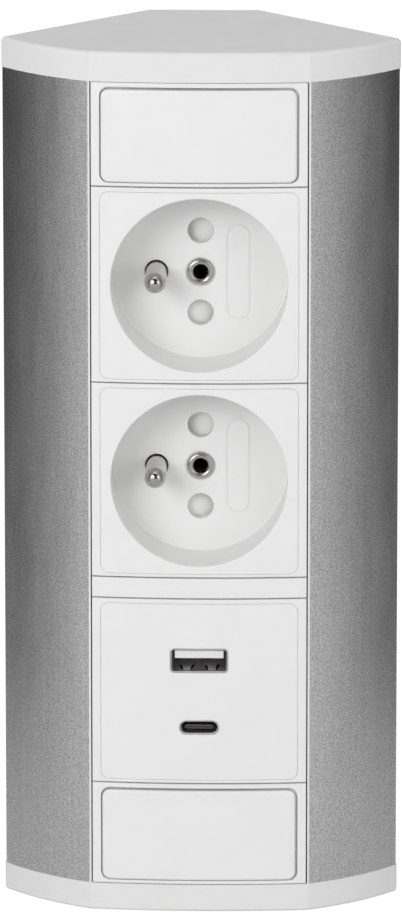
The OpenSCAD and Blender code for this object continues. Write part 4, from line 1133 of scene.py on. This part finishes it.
@dataclass
class SocketModule:
    """A socket with its frame, recessed face, earth pin, rivet and shutter."""

    number: int
    seat: ModulePlace
    gap: float = 0.03
    corner: float = 1.96
    ring_radius: float = 21.45
    cup_radius: float = 21.15
    cup_front: float = 1.0
    cup_rear: float = 15.5
    recess_radius: float = 19.95
    floor_depth: float = 13.5
    contact_radius: float = 2.95
    contact_rise: float = 9.5
    earth_radius: float = 2.65
    earth_offset: float = 10.0
    bearing_radius: float = 2.5
    rivet_seat_radius: float = 3.45
    rivet_seat_depth: float = 0.25
    label_offset: float = 8.35
    label_size: Span = (5.4, 22.0)
    label_end: float = 2.65
    label_line: float = 0.4
    label_rise: float = 0.25
    label_sink: float = 0.4
    rim_round: float = 0.36
    rim_limit: float = 20.9
    floor_round: float = 0.4
    hole_round: float = 0.16
    label_round: float = 0.09
    edge_round: float = 0.12
    cup_sides: int = 96
    recess_sides: int = 128

    @property
    def middle(self) -> float:
        """Height of the socket's centre above the desk."""
        return self.seat.bottom + self.seat.height / 2

    def label_ring(self) -> Piece:
        """Builds the raised outline round the bare label field.

        Returns:
            The outline.
        """
        front, rear = self.floor_depth - self.label_rise, self.floor_depth + self.label_sink
        shape = (self.label_size, self.label_end)
        centre = (self.label_offset, self.middle)
        ring = Bench.slab("label_ring", *shape, (front, rear), centre, 10)
        depths = (front - OVERRUN, rear + OVERRUN)
        hollow = Bench.slab("label_hollow", *shape, depths, centre, 10, self.label_line)
        Bench.shape(ring, hollow, Joinery.CUT)
        return ring

    def rim(self, radius: float, depth_at: float, x_at: float = 0.0, z_at: float = 0.0) -> EdgeTest:
        """Makes a test for the edges of a round rim.

        Args:
            radius: radius of the rim.
            depth_at: its depth.
            x_at: place of its centre across the front.
            z_at: height of its centre above the socket's centre.

        Returns:
            The test.
        """
        return both_ends(
            lambda x, depth, z: abs(depth - depth_at) < CLOSE
            and abs(math.hypot(x - x_at, z - self.middle - z_at) - radius) < 3 * CLOSE
        )

    def face(self) -> Piece:
        """Builds the face: plate, cup, recess, holes and label outline.

        Returns:
            The face.
        """
        piece = self.seat.plate(f"socket_front_{self.number}", self.gap, self.corner)
        depths = (self.cup_front, self.cup_rear)
        cup = Bench.rod("cup", self.cup_radius, depths, 0.0, self.middle, self.cup_sides)
        Bench.shape(piece, cup, Joinery.ADD)
        depths = (-FRONT_OVERRUN, self.floor_depth)
        recess = Bench.rod("recess", self.recess_radius, depths, 0.0, self.middle, self.recess_sides)
        Bench.shape(piece, recess, Joinery.CUT)
        through = self.cup_rear + OVERRUN
        for radius, x, rise, rear in (
            (self.contact_radius, 0.0, self.contact_rise, through),
            (self.contact_radius, 0.0, -self.contact_rise, through),
            (self.earth_radius, -self.earth_offset, 0.0, through),
            (self.bearing_radius, 0.0, 0.0, through),
            (self.rivet_seat_radius, 0.0, 0.0, self.floor_depth + self.rivet_seat_depth),
        ):
            hole = Bench.rod("hole", radius, (self.floor_depth - OVERRUN, rear), x, self.middle + rise)
            Bench.shape(piece, hole, Joinery.CUT)
        Bench.shape(piece, self.label_ring(), Joinery.ADD)
        self.soften(piece)
        Bench.curve_front(piece)
        return Bench.finish_shape(piece)

    def soften(self, piece: Piece) -> None:
        """Rounds the rims that the eye meets.

        Args:
            piece: the face, its front still flat.
        """
        floor, rise = self.floor_depth, self.contact_rise
        label_top = both_ends(lambda x, depth, z: abs(depth - floor + self.label_rise) < CLOSE)
        outside = both_ends(
            lambda x, depth, z: depth < CLOSE and math.hypot(x, z - self.middle) > self.rim_limit
        )
        counts = [
            Bench.bevel(piece, width, steps, test)
            for width, steps, test in (
                (self.rim_round, 4, self.rim(self.recess_radius, 0.0)),
                (self.floor_round, 3, self.rim(self.recess_radius, floor)),
                (self.hole_round, 3, self.rim(self.contact_radius, floor, 0.0, rise)),
                (self.hole_round, 3, self.rim(self.contact_radius, floor, 0.0, -rise)),
                (self.hole_round, 3, self.rim(self.earth_radius, floor, -self.earth_offset)),
                (self.label_round, 2, label_top),
                (self.edge_round, 2, outside),
            )
        ]
        LOG.info("socket %d: rounded edges %s", self.number, counts)

    def frame_opening(self) -> Piece:
        """Makes the solid that cuts the round opening of the frame's ledge."""
        return Bench.rod("opening", self.ring_radius, self.seat.through, 0.0, self.middle, self.cup_sides)

    def run(self) -> None:
        """Builds the face and frame and dresses the parts that show through them."""
        number = self.number
        surround = self.seat.frame_piece(f"socket_surround_{number}", TWO_HOOKS, self.frame_opening())
        settle(surround, f"socket_frame_{number}")
        settle(self.face(), f"socket_face_{number}")
        dress(PLATED, f"earth_pin_{number}")
        dress(ROLLED, f"centre_rivet_{number}")
        dress(SHUTTER, f"shutter_{number}")
        dress(STEEL, f"shutter_spring_{number}")
        dress(GREY, f"contact_base_{number}", f"base_cover_{number}")
        dress(BRASS, f"live_contact_{number}", f"neutral_contact_{number}", f"earth_strap_{number}")


@dataclass
class FillerStrip:
    """The thin strip between the lower socket and the charger."""

    seat: ModulePlace
    block_width: float = 6.0
    edge_round: float = 0.2

    def build(self) -> Piece:
        """Builds the strip with its two blocks and hooks.

        Returns:
            The strip.
        """
        seat = self.seat
        xs = around(0.0, seat.frame_half)
        piece = Bench.block("thin_strip", xs, (0.0, seat.flange_depth), seat.ends)
        reaches = (seat.skirt_half - self.block_width, seat.skirt_half)
        depths = (seat.flange_depth - SEAM, seat.skirt_depth)
        for side in SIDES:
            foot = Bench.block("foot", reaches, depths, seat.ends, side)
            Bench.shape(piece, foot, Joinery.ADD)
        seat.add_hooks(piece, ONE_HOOK)
        Bench.bevel(piece, self.edge_round, 2, at_front())
        Bench.curve_front(piece)
        return Bench.finish_shape(piece)

    def run(self) -> None:
        """Builds and dresses the strip."""
        settle(self.build(), "filler_strip")


@dataclass
class PortShell:
    """The folded steel shell of a port, its lip rounded so that it catches the light."""

    name: str
    node: str
    size: Span
    corner: float
    height: float
    sheet: float = 0.3
    lip_round: float = 0.1
    spring_places: tuple[float, ...] = ()
    window_depths: Span = (-0.2, 5.4)
    window_halves: Span = (1.05, 1.9)
    spring_halves: Span = (0.8, 1.55)
    spring_gap: float = 0.35
    spring_rise: float = 0.72
    spring_root: float = 0.5
    bow_power: float = 0.75

    @property
    def floor(self) -> float:
        """Height of the shell's outer floor."""
        return self.height - self.size[1] / 2

    def tube(self) -> Piece:
        """Builds the closed tube with its rounded corners, open to the front.

        Returns:
            The tube.
        """
        front, rear = (end[1] / MM - CREASE_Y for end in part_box(self.node))
        shape, middle = (self.size, self.corner), (0.0, self.height)
        piece = Bench.slab(self.name, *shape, (front, rear), middle, 7)
        depths = (front - OVERRUN, rear - self.sheet)
        Bench.shape(piece, Bench.slab("hollow", *shape, depths, middle, 7, self.sheet), Joinery.CUT)
        count = Bench.bevel(piece, self.lip_round, 2, at_front(front + CLOSE))
        LOG.info("%s: rounded %d lip edges", self.name, count)
        return piece

    def tapered(self, name: str, middle: float, halves: Span, depths: Span, zs: Span, cuts: int = 0) -> Piece:
        """Builds a block that grows wider or narrower from its front to its rear end.

        Args:
            name: name of the new piece.
            middle: place of its middle across the front.
            halves: half its width at the front and at the rear.
            depths: its front and rear end.
            zs: its lower and upper end.
            cuts: number of cuts across it.

        Returns:
            The block.
        """
        piece = Bench.block(name, around(middle, halves[0]), depths, zs)
        length = depths[1] - depths[0]
        with Bench.editing(piece):
            for index in range(1, cuts + 1):
                bpy.ops.mesh.select_all(action="SELECT")
                cut = depths[0] + length * index / (cuts + 1) + CREASE_Y
                bpy.ops.mesh.bisect(plane_co=(0.0, cut * MM, 0.0), plane_no=(0.0, 1.0, 0.0))
        for vert in piece.data.vertices:
            x, depth, _ = Bench.place(vert.co)
            half = halves[0] + (halves[1] - halves[0]) * ((depth - depths[0]) / length)
            vert.co.x = (middle + math.copysign(half, x - middle)) * MM
        piece.data.update()
        return piece

    def spring(self, middle: float) -> Piece:
        """Builds one bowed spring tab that rises out of its window.

        Args:
            middle: place of the tab across the front.

        Returns:
            The tab, rooted in the shell's floor at its rear end.
        """
        front, rear = self.window_depths[0] + self.spring_gap, self.window_depths[1]
        zs = (self.floor + CLOSE, self.floor + self.sheet - CLOSE)
        depths = (front, rear + self.spring_root)
        piece = self.tapered("spring", middle, self.spring_halves, depths, zs, 9)
        for vert in piece.data.vertices:
            _, depth, _ = Bench.place(vert.co)
            share = min(1.0, max(0.0, (depth - front) / (rear - front)))
            vert.co.z += self.spring_rise * math.sin(math.pi * share**self.bow_power) * MM
        piece.data.update()
        return piece

    def build(self) -> Piece:
        """Builds the shell with its windows and spring tabs.

        Returns:
            The shell.
        """
        piece = self.tube()
        zs = (self.floor - OVERRUN, self.floor + 2 * self.sheet)
        for middle in self.spring_places:
            window = self.tapered("window", middle, self.window_halves, self.window_depths, zs)
            Bench.shape(piece, window, Joinery.CUT)
            Bench.shape(piece, self.spring(middle), Joinery.ADD)
        return Bench.finish_shape(piece, SOFT_CREASE_ANGLE)

    def run(self) -> None:
        """Builds and dresses the shell."""
        settle(self.build(), self.node, SHELL)


@dataclass
class SlimContacts:
    """The two rows of fine contacts on the slim port's tongue, bent over its front edge."""

    middle: float = 43.6
    pitch: float = 0.5
    pairs: int = 6
    width: float = 0.27
    thick: float = 0.08
    face_rise: float = 0.37
    front: float = -0.63
    length: float = 7.4
    hook_depth: float = 0.06
    hook_drop: float = 0.16
    bend_round: float = 0.05

    def contact(self, side: float, x: float) -> Piece:
        """Builds one contact.

        Args:
            side: -1 for the lower row and 1 for the upper one.
            x: place of its middle across the front.

        Returns:
            The contact, with its bent front end.
        """
        xs = around(x, self.width / 2)
        top, foot = self.face_rise + self.thick, self.face_rise - self.hook_drop
        parts: list[Piece] = []
        for low, length in ((self.face_rise, self.length), (foot, self.hook_depth)):
            zs = sorted((side * low, side * top))
            depths = (self.front, self.front + length)
            parts.append(Bench.block("contact", xs, depths, (self.middle + zs[0], self.middle + zs[1])))
        Bench.shape(*parts, Joinery.ADD)
        bend = both_ends(
            lambda x, depth, z: depth < self.front + CLOSE and abs(z - self.middle - side * top) < CLOSE
        )
        Bench.bevel(parts[0], self.bend_round, 2, bend)
        return parts[0]

    def build(self) -> Piece:
        """Builds both rows and joins them.

        Returns:
            The contacts, as one piece.
        """
        made = [
            self.contact(side, (step + 0.5 - self.pairs) * self.pitch)
            for side in SIDES
            for step in range(2 * self.pairs)
        ]
        Bench.take(made[0])
        for piece in made[1:]:
            piece.select_set(True)
        bpy.ops.object.join()
        made[0].name = "slim_contacts"
        return Bench.finish_shape(made[0])

    def run(self) -> None:
        """Builds and dresses the contacts."""
        # The contacts wear the gilt darkened by painted shade.
        settle(self.build(), "usb_c_contacts", SHADED_GILT)


@dataclass
class WideTongue:
    """The white tongue of the wide port, with softened edges and a groove for each contact."""

    groove_steps: tuple[float, ...] = (-1.5, -0.5, 0.5, 1.5)
    groove_pitch: float = 2.25
    groove_half: float = 0.62
    groove_high: float = 0.25
    groove_ends: Span = (0.9, 1.0)
    edge_round: float = 0.14

    def build(self) -> Piece:
        """Builds the tongue at the size of its construction node.

        Returns:
            The tongue.
        """
        low, high = (Vector(corner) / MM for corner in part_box("usb_a_tongue"))
        front, rear = low.y - CREASE_Y, high.y - CREASE_Y
        piece = Bench.block("wide_tongue", (low.x, high.x), (front, rear), (low.z, high.z))
        nose = at_front(front + CLOSE)
        Bench.bevel(piece, self.edge_round, 3, lambda edge: nose(edge) or edge.run(1) > OVERRUN)
        depths = (front + self.groove_ends[0], rear - self.groove_ends[1])
        for step in self.groove_steps:
            xs = around(step * self.groove_pitch, self.groove_half)
            groove = Bench.block("groove", xs, depths, (low.z - OVERRUN / 2, low.z + self.groove_high))
            Bench.shape(piece, groove, Joinery.CUT)
        return Bench.finish_shape(piece, SOFT_CREASE_ANGLE)

    def run(self) -> None:
        """Builds and dresses the tongue."""
        settle(self.build(), "usb_a_tongue", TONGUE)


@dataclass
class ChargerModule:
    """The charger with its two ports and the works behind it."""

    seat: ModulePlace
    gap: float = 0.03
    corner: float = 1.96
    ledge: float = 1.6
    wide_port: Span = (13.22, 5.72)
    wide_corner: float = 0.96
    wide_height: float = 59.3
    slim_port: Span = (9.06, 3.38)
    slim_corner: float = 1.64
    slim_height: float = 43.6
    wide_shell: Span = (13.1, 5.6)
    wide_shell_corner: float = 0.9
    slim_shell: Span = (8.94, 3.26)
    slim_shell_corner: float = 1.62
    spring_places: Span = (-2.85, 2.85)
    rim_round: float = 0.16
    rim_margin: float = 0.5
    edge_round: float = 0.12

    def face(self) -> Piece:
        """Builds the face with its two port openings.

        Returns:
            The face.
        """
        piece = self.seat.plate("charger_front", self.gap, self.corner)
        for size, corner, height in (
            (self.wide_port, self.wide_corner, self.wide_height),
            (self.slim_port, self.slim_corner, self.slim_height),
        ):
            tool = Bench.slab("port", size, corner, (-FRONT_OVERRUN, FRONT_OVERRUN), (0.0, height), 8)
            Bench.shape(piece, tool, Joinery.CUT)
        reach = self.wide_port[0] / 2 + self.rim_margin
        rims = both_ends(lambda x, depth, z: depth < CLOSE and abs(x) < reach)
        lowest, highest = self.slim_height - reach, self.wide_height + reach
        outer = both_ends(lambda x, depth, z: depth < CLOSE and (abs(x) > reach or not lowest < z < highest))
        counts = [Bench.bevel(piece, self.rim_round, 2, rims), Bench.bevel(piece, self.edge_round, 2, outer)]
        LOG.info("charger face: port and outer edges rounded: %s", counts)
        Bench.curve_front(piece)
        return Bench.finish_shape(piece)

    def run(self) -> None:
        """Builds the face and frame and dresses the ports and the works."""
        opening = self.seat.through_panel(self.ledge)
        surround = self.seat.frame_piece("charger_surround", TWO_HOOKS, opening)
        settle(surround, "usb_frame")
        settle(self.face(), "usb_face")
        wide = ("wide_shell", "usb_a_shell", self.wide_shell, self.wide_shell_corner, self.wide_height)
        slim = ("slim_shell", "usb_c_shell", self.slim_shell, self.slim_shell_corner, self.slim_height)
        PortShell(*wide, spring_places=self.spring_places).run()
        PortShell(*slim).run()
        WideTongue().run()
        SlimContacts().run()
        dress(BLACK, "usb_c_tongue", "usb_chips")
        dress(GILT, "usb_a_contacts")
        dress(GREY, "usb_housing")
        dress(BOARD, "usb_board")
        dress(TRANSFORMER, "usb_transformer")
        dress(SLEEVE, "usb_capacitors")
        dress(GREEN, "usb_terminal")
        dress(STEEL, "usb_board_screws")


@dataclass
class Wiring:
    """The wires and screws inside the housing."""

    def run(self) -> None:
        """Dresses the wires and the terminal and cover screws."""
        dress(BROWN_WIRE, "live_wires")
        dress(BLUE_WIRE, "neutral_wires")
        dress(GREEN_WIRE, "earth_wires")
        dress(STEEL, "terminal_screws", "base_cover_screws")


@dataclass(frozen=True)
class Lamp:
    """A soft lamp that faces what the camera looks at."""

    name: str
    place: Triple
    power: float
    size: Span

    def add(self, target: Vector) -> None:
        """Adds the lamp and aims it.

        Args:
            target: the point that it faces.
        """
        data = bpy.data.lights.new(self.name, "AREA")
        data.shape = "RECTANGLE"
        data.size, data.size_y = self.size
        data.energy = self.power
        lamp = bpy.data.objects.new(self.name, data)
        lamp.location = self.place
        lamp.rotation_euler = (target - lamp.location).to_track_quat("-Z", "Y").to_euler()
        bpy.context.scene.collection.objects.link(lamp)


@dataclass
class Studio:
    """The pale floor, the light and the camera of the product picture."""

    azimuth: float = 1.36
    elevation: float = 14.04
    distance: float = 2.092
    lens: float = 359.5
    sensor: float = 36.0
    target: Triple = (0.00016, -0.01425, 0.1031)
    sky: float = 0.57
    floor_size: float = 60.0
    floor_keep: float = 0.35
    floor_glow: float = 1.39
    clip: Span = (0.01, 100.0)
    lamps: tuple[Lamp, ...] = (
        Lamp("key_lamp", (-0.76, -1.42, 0.7), 10.4, (0.8, 0.7)),
        Lamp("second_lamp", (1.308, -1.675, 0.67), 8.7, (1.6, 1.2)),
    )
    card_x: float = 0.17
    card_ys: Span = (-0.2, 1.2)
    card_edge: float = 0.7
    card_edge_end: float = -0.02
    card_height: float = 0.9
    card_glow: Span = (0.15, 0.02)
    card_fade: float = 0.19
    front_card_y: float = -1.95
    front_card_size: Span = (3.0, 3.1)
    front_card_foot: float = 0.12
    front_card_glow: float = 0.05
    paper: tuple[Colour, Colour] = ((0.7, 0.7, 0.7), (0.71, 0.71, 0.71))
    paper_speck: float = 900.0
    floor_drop: float = 0.0002

    def light_world(self) -> None:
        """Lights the object evenly, and shows white to the camera and in reflections."""
        world = bpy.data.worlds.new("studio_world")
        bpy.context.scene.world = world
        graph = Graph(world)
        rays = graph.add("LightPath").outputs
        seen = graph.maths(Maths.LARGER, rays["Is Camera Ray"], rays["Is Glossy Ray"])
        seen = graph.maths(Maths.LARGER, seen, rays["Is Transmission Ray"])
        white = (1.0, 1.0, 1.0, 1.0)
        soft, bright = (
            graph.add("Background", Color=white, Strength=strength).outputs["Background"]
            for strength in (self.sky, 1.0)
        )
        graph.mix(seen, soft, bright, "OutputWorld")

    def floor_material(self) -> bpy.types.Material:
        """Makes the pale floor: lit as paper, and lifted to white for the camera but for the shadow.

        Returns:
            The material.
        """
        material = bpy.data.materials.new("pale_floor")
        graph = Graph(material)
        paper = graph.add("BsdfDiffuse")
        speck = graph.spread(graph.noise(self.paper_speck, 2.0))
        graph.link(graph.blend(speck, *self.paper), paper.inputs["Color"])
        glow = graph.add("Emission", Strength=self.floor_glow)
        camera_ray = graph.add("LightPath").outputs["Is Camera Ray"]
        seen = graph.maths(Maths.MULTIPLY, camera_ray, 1.0 - self.floor_keep)
        graph.mix(seen, paper.outputs["BSDF"], glow.outputs["Emission"], "OutputMaterial")
        return material

    @staticmethod
    def add_sheet(name: str, size: float, material: bpy.types.Material) -> Piece:
        """Adds a flat sheet to the stage.

        Args:
            name: name of the sheet.
            size: length of its sides.
            material: what it is made of.

        Returns:
            The sheet.
        """
        bpy.ops.object.select_all(action="DESELECT")
        bpy.ops.mesh.primitive_plane_add(size=size)
        sheet = bpy.context.active_object
        sheet.name = name
        sheet.data.materials.append(material)
        return sheet

    def card_material(self, name: str, foot: float, top: float, edge: float) -> bpy.types.Material:
        """Makes a reflection card's paper, which fades upwards from its foot and back from its front edge.

        Args:
            name: name of the material.
            foot: how bright it is at the floor.
            top: how bright it is above the fade.
            edge: how much brighter it is at the side cards' front edge.

        Returns:
            The material.
        """
        material = bpy.data.materials.new(name)
        graph = Graph(material)
        _, depth, height = graph.axes("NewGeometry", "Position")
        upwards = graph.spread(height, foot, top, 0.0, self.card_fade)
        rearwards = graph.spread(depth, edge, 0.0, self.card_ys[0], self.card_edge_end)
        shader = graph.add("Emission")
        graph.link(graph.maths(Maths.ADD, upwards, rearwards), shader.inputs["Strength"])
        graph.link(shader.outputs["Emission"], graph.add("OutputMaterial").inputs["Surface"])
        return material

    def add_cards(self) -> None:
        """Adds the dark cards that only reflections meet: they darken the wings and the pins' tips."""
        side_paper = self.card_material("side_card", *self.card_glow, self.card_edge)
        front_paper = self.card_material("front_card", self.front_card_glow, self.front_card_glow, 0.0)
        side_size = (self.card_ys[1] - self.card_ys[0], self.card_height)
        side_place = (sum(self.card_ys) / 2, self.card_height / 2)
        front_place = (0.0, self.front_card_y, self.front_card_foot + self.front_card_size[1] / 2)
        for name, size, place, turn, paper in (
            ("left_card", side_size, (-self.card_x, *side_place), math.pi / 2, side_paper),
            ("right_card", side_size, (self.card_x, *side_place), math.pi / 2, side_paper),
            ("front_card", self.front_card_size, front_place, 0.0, front_paper),
        ):
            card = self.add_sheet(name, 1.0, paper)
            card.scale = (*size, 1.0)
            card.rotation_euler = (math.pi / 2, 0.0, turn)
            card.location = place
            card.visible_camera = card.visible_diffuse = False
            card.visible_transmission = card.visible_shadow = False

    def add_camera(self) -> None:
        """Adds the camera at the picture's viewing angle."""
        turn, tilt = math.radians(self.azimuth), math.radians(self.elevation)
        back = Vector((math.sin(turn) * math.cos(tilt), -math.cos(turn) * math.cos(tilt), math.sin(tilt)))
        data = bpy.data.cameras.new("picture_camera")
        data.sensor_fit = "VERTICAL"
        data.sensor_height = self.sensor
        data.lens = self.lens
        data.clip_start, data.clip_end = self.clip
        camera = bpy.data.objects.new("picture_camera", data)
        camera.location = Vector(self.target) + back * self.distance
        camera.rotation_euler = (-back).to_track_quat("-Z", "Y").to_euler()
        bpy.context.scene.collection.objects.link(camera)
        bpy.context.scene.camera = camera

    def run(self) -> None:
        """Sets up camera, floor, world and lamps."""
        bpy.context.scene.view_settings.view_transform = "Standard"
        self.add_camera()
        self.light_world()
        floor = self.add_sheet("studio_floor", self.floor_size, self.floor_material())
        floor.location.z = -self.floor_drop
        self.add_cards()
        for lamp in self.lamps:
            lamp.add(Vector(self.target))


def main() -> None:
    """Builds the socket from its sub-assemblies and sets up the studio."""
    logging.basicConfig(level=logging.INFO, format="%(message)s")
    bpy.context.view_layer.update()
    Profile().run()
    Caps().run()
    BlankModule(BlankPlace.BOTTOM, ModulePlace(bottom=6.3, height=24.0)).run()
    ChargerModule(ModulePlace(bottom=30.3, height=43.5)).run()
    FillerStrip(ModulePlace(bottom=73.8, height=4.9)).run()
    SocketModule(2, ModulePlace(bottom=78.7, height=45.2)).run()
    SocketModule(1, ModulePlace(bottom=123.9, height=45.2)).run()
    BlankModule(BlankPlace.TOP, ModulePlace(bottom=169.1, height=24.0)).run()
    Wiring().run()
    Studio().run()


if __name__ == "__main__":
    main()
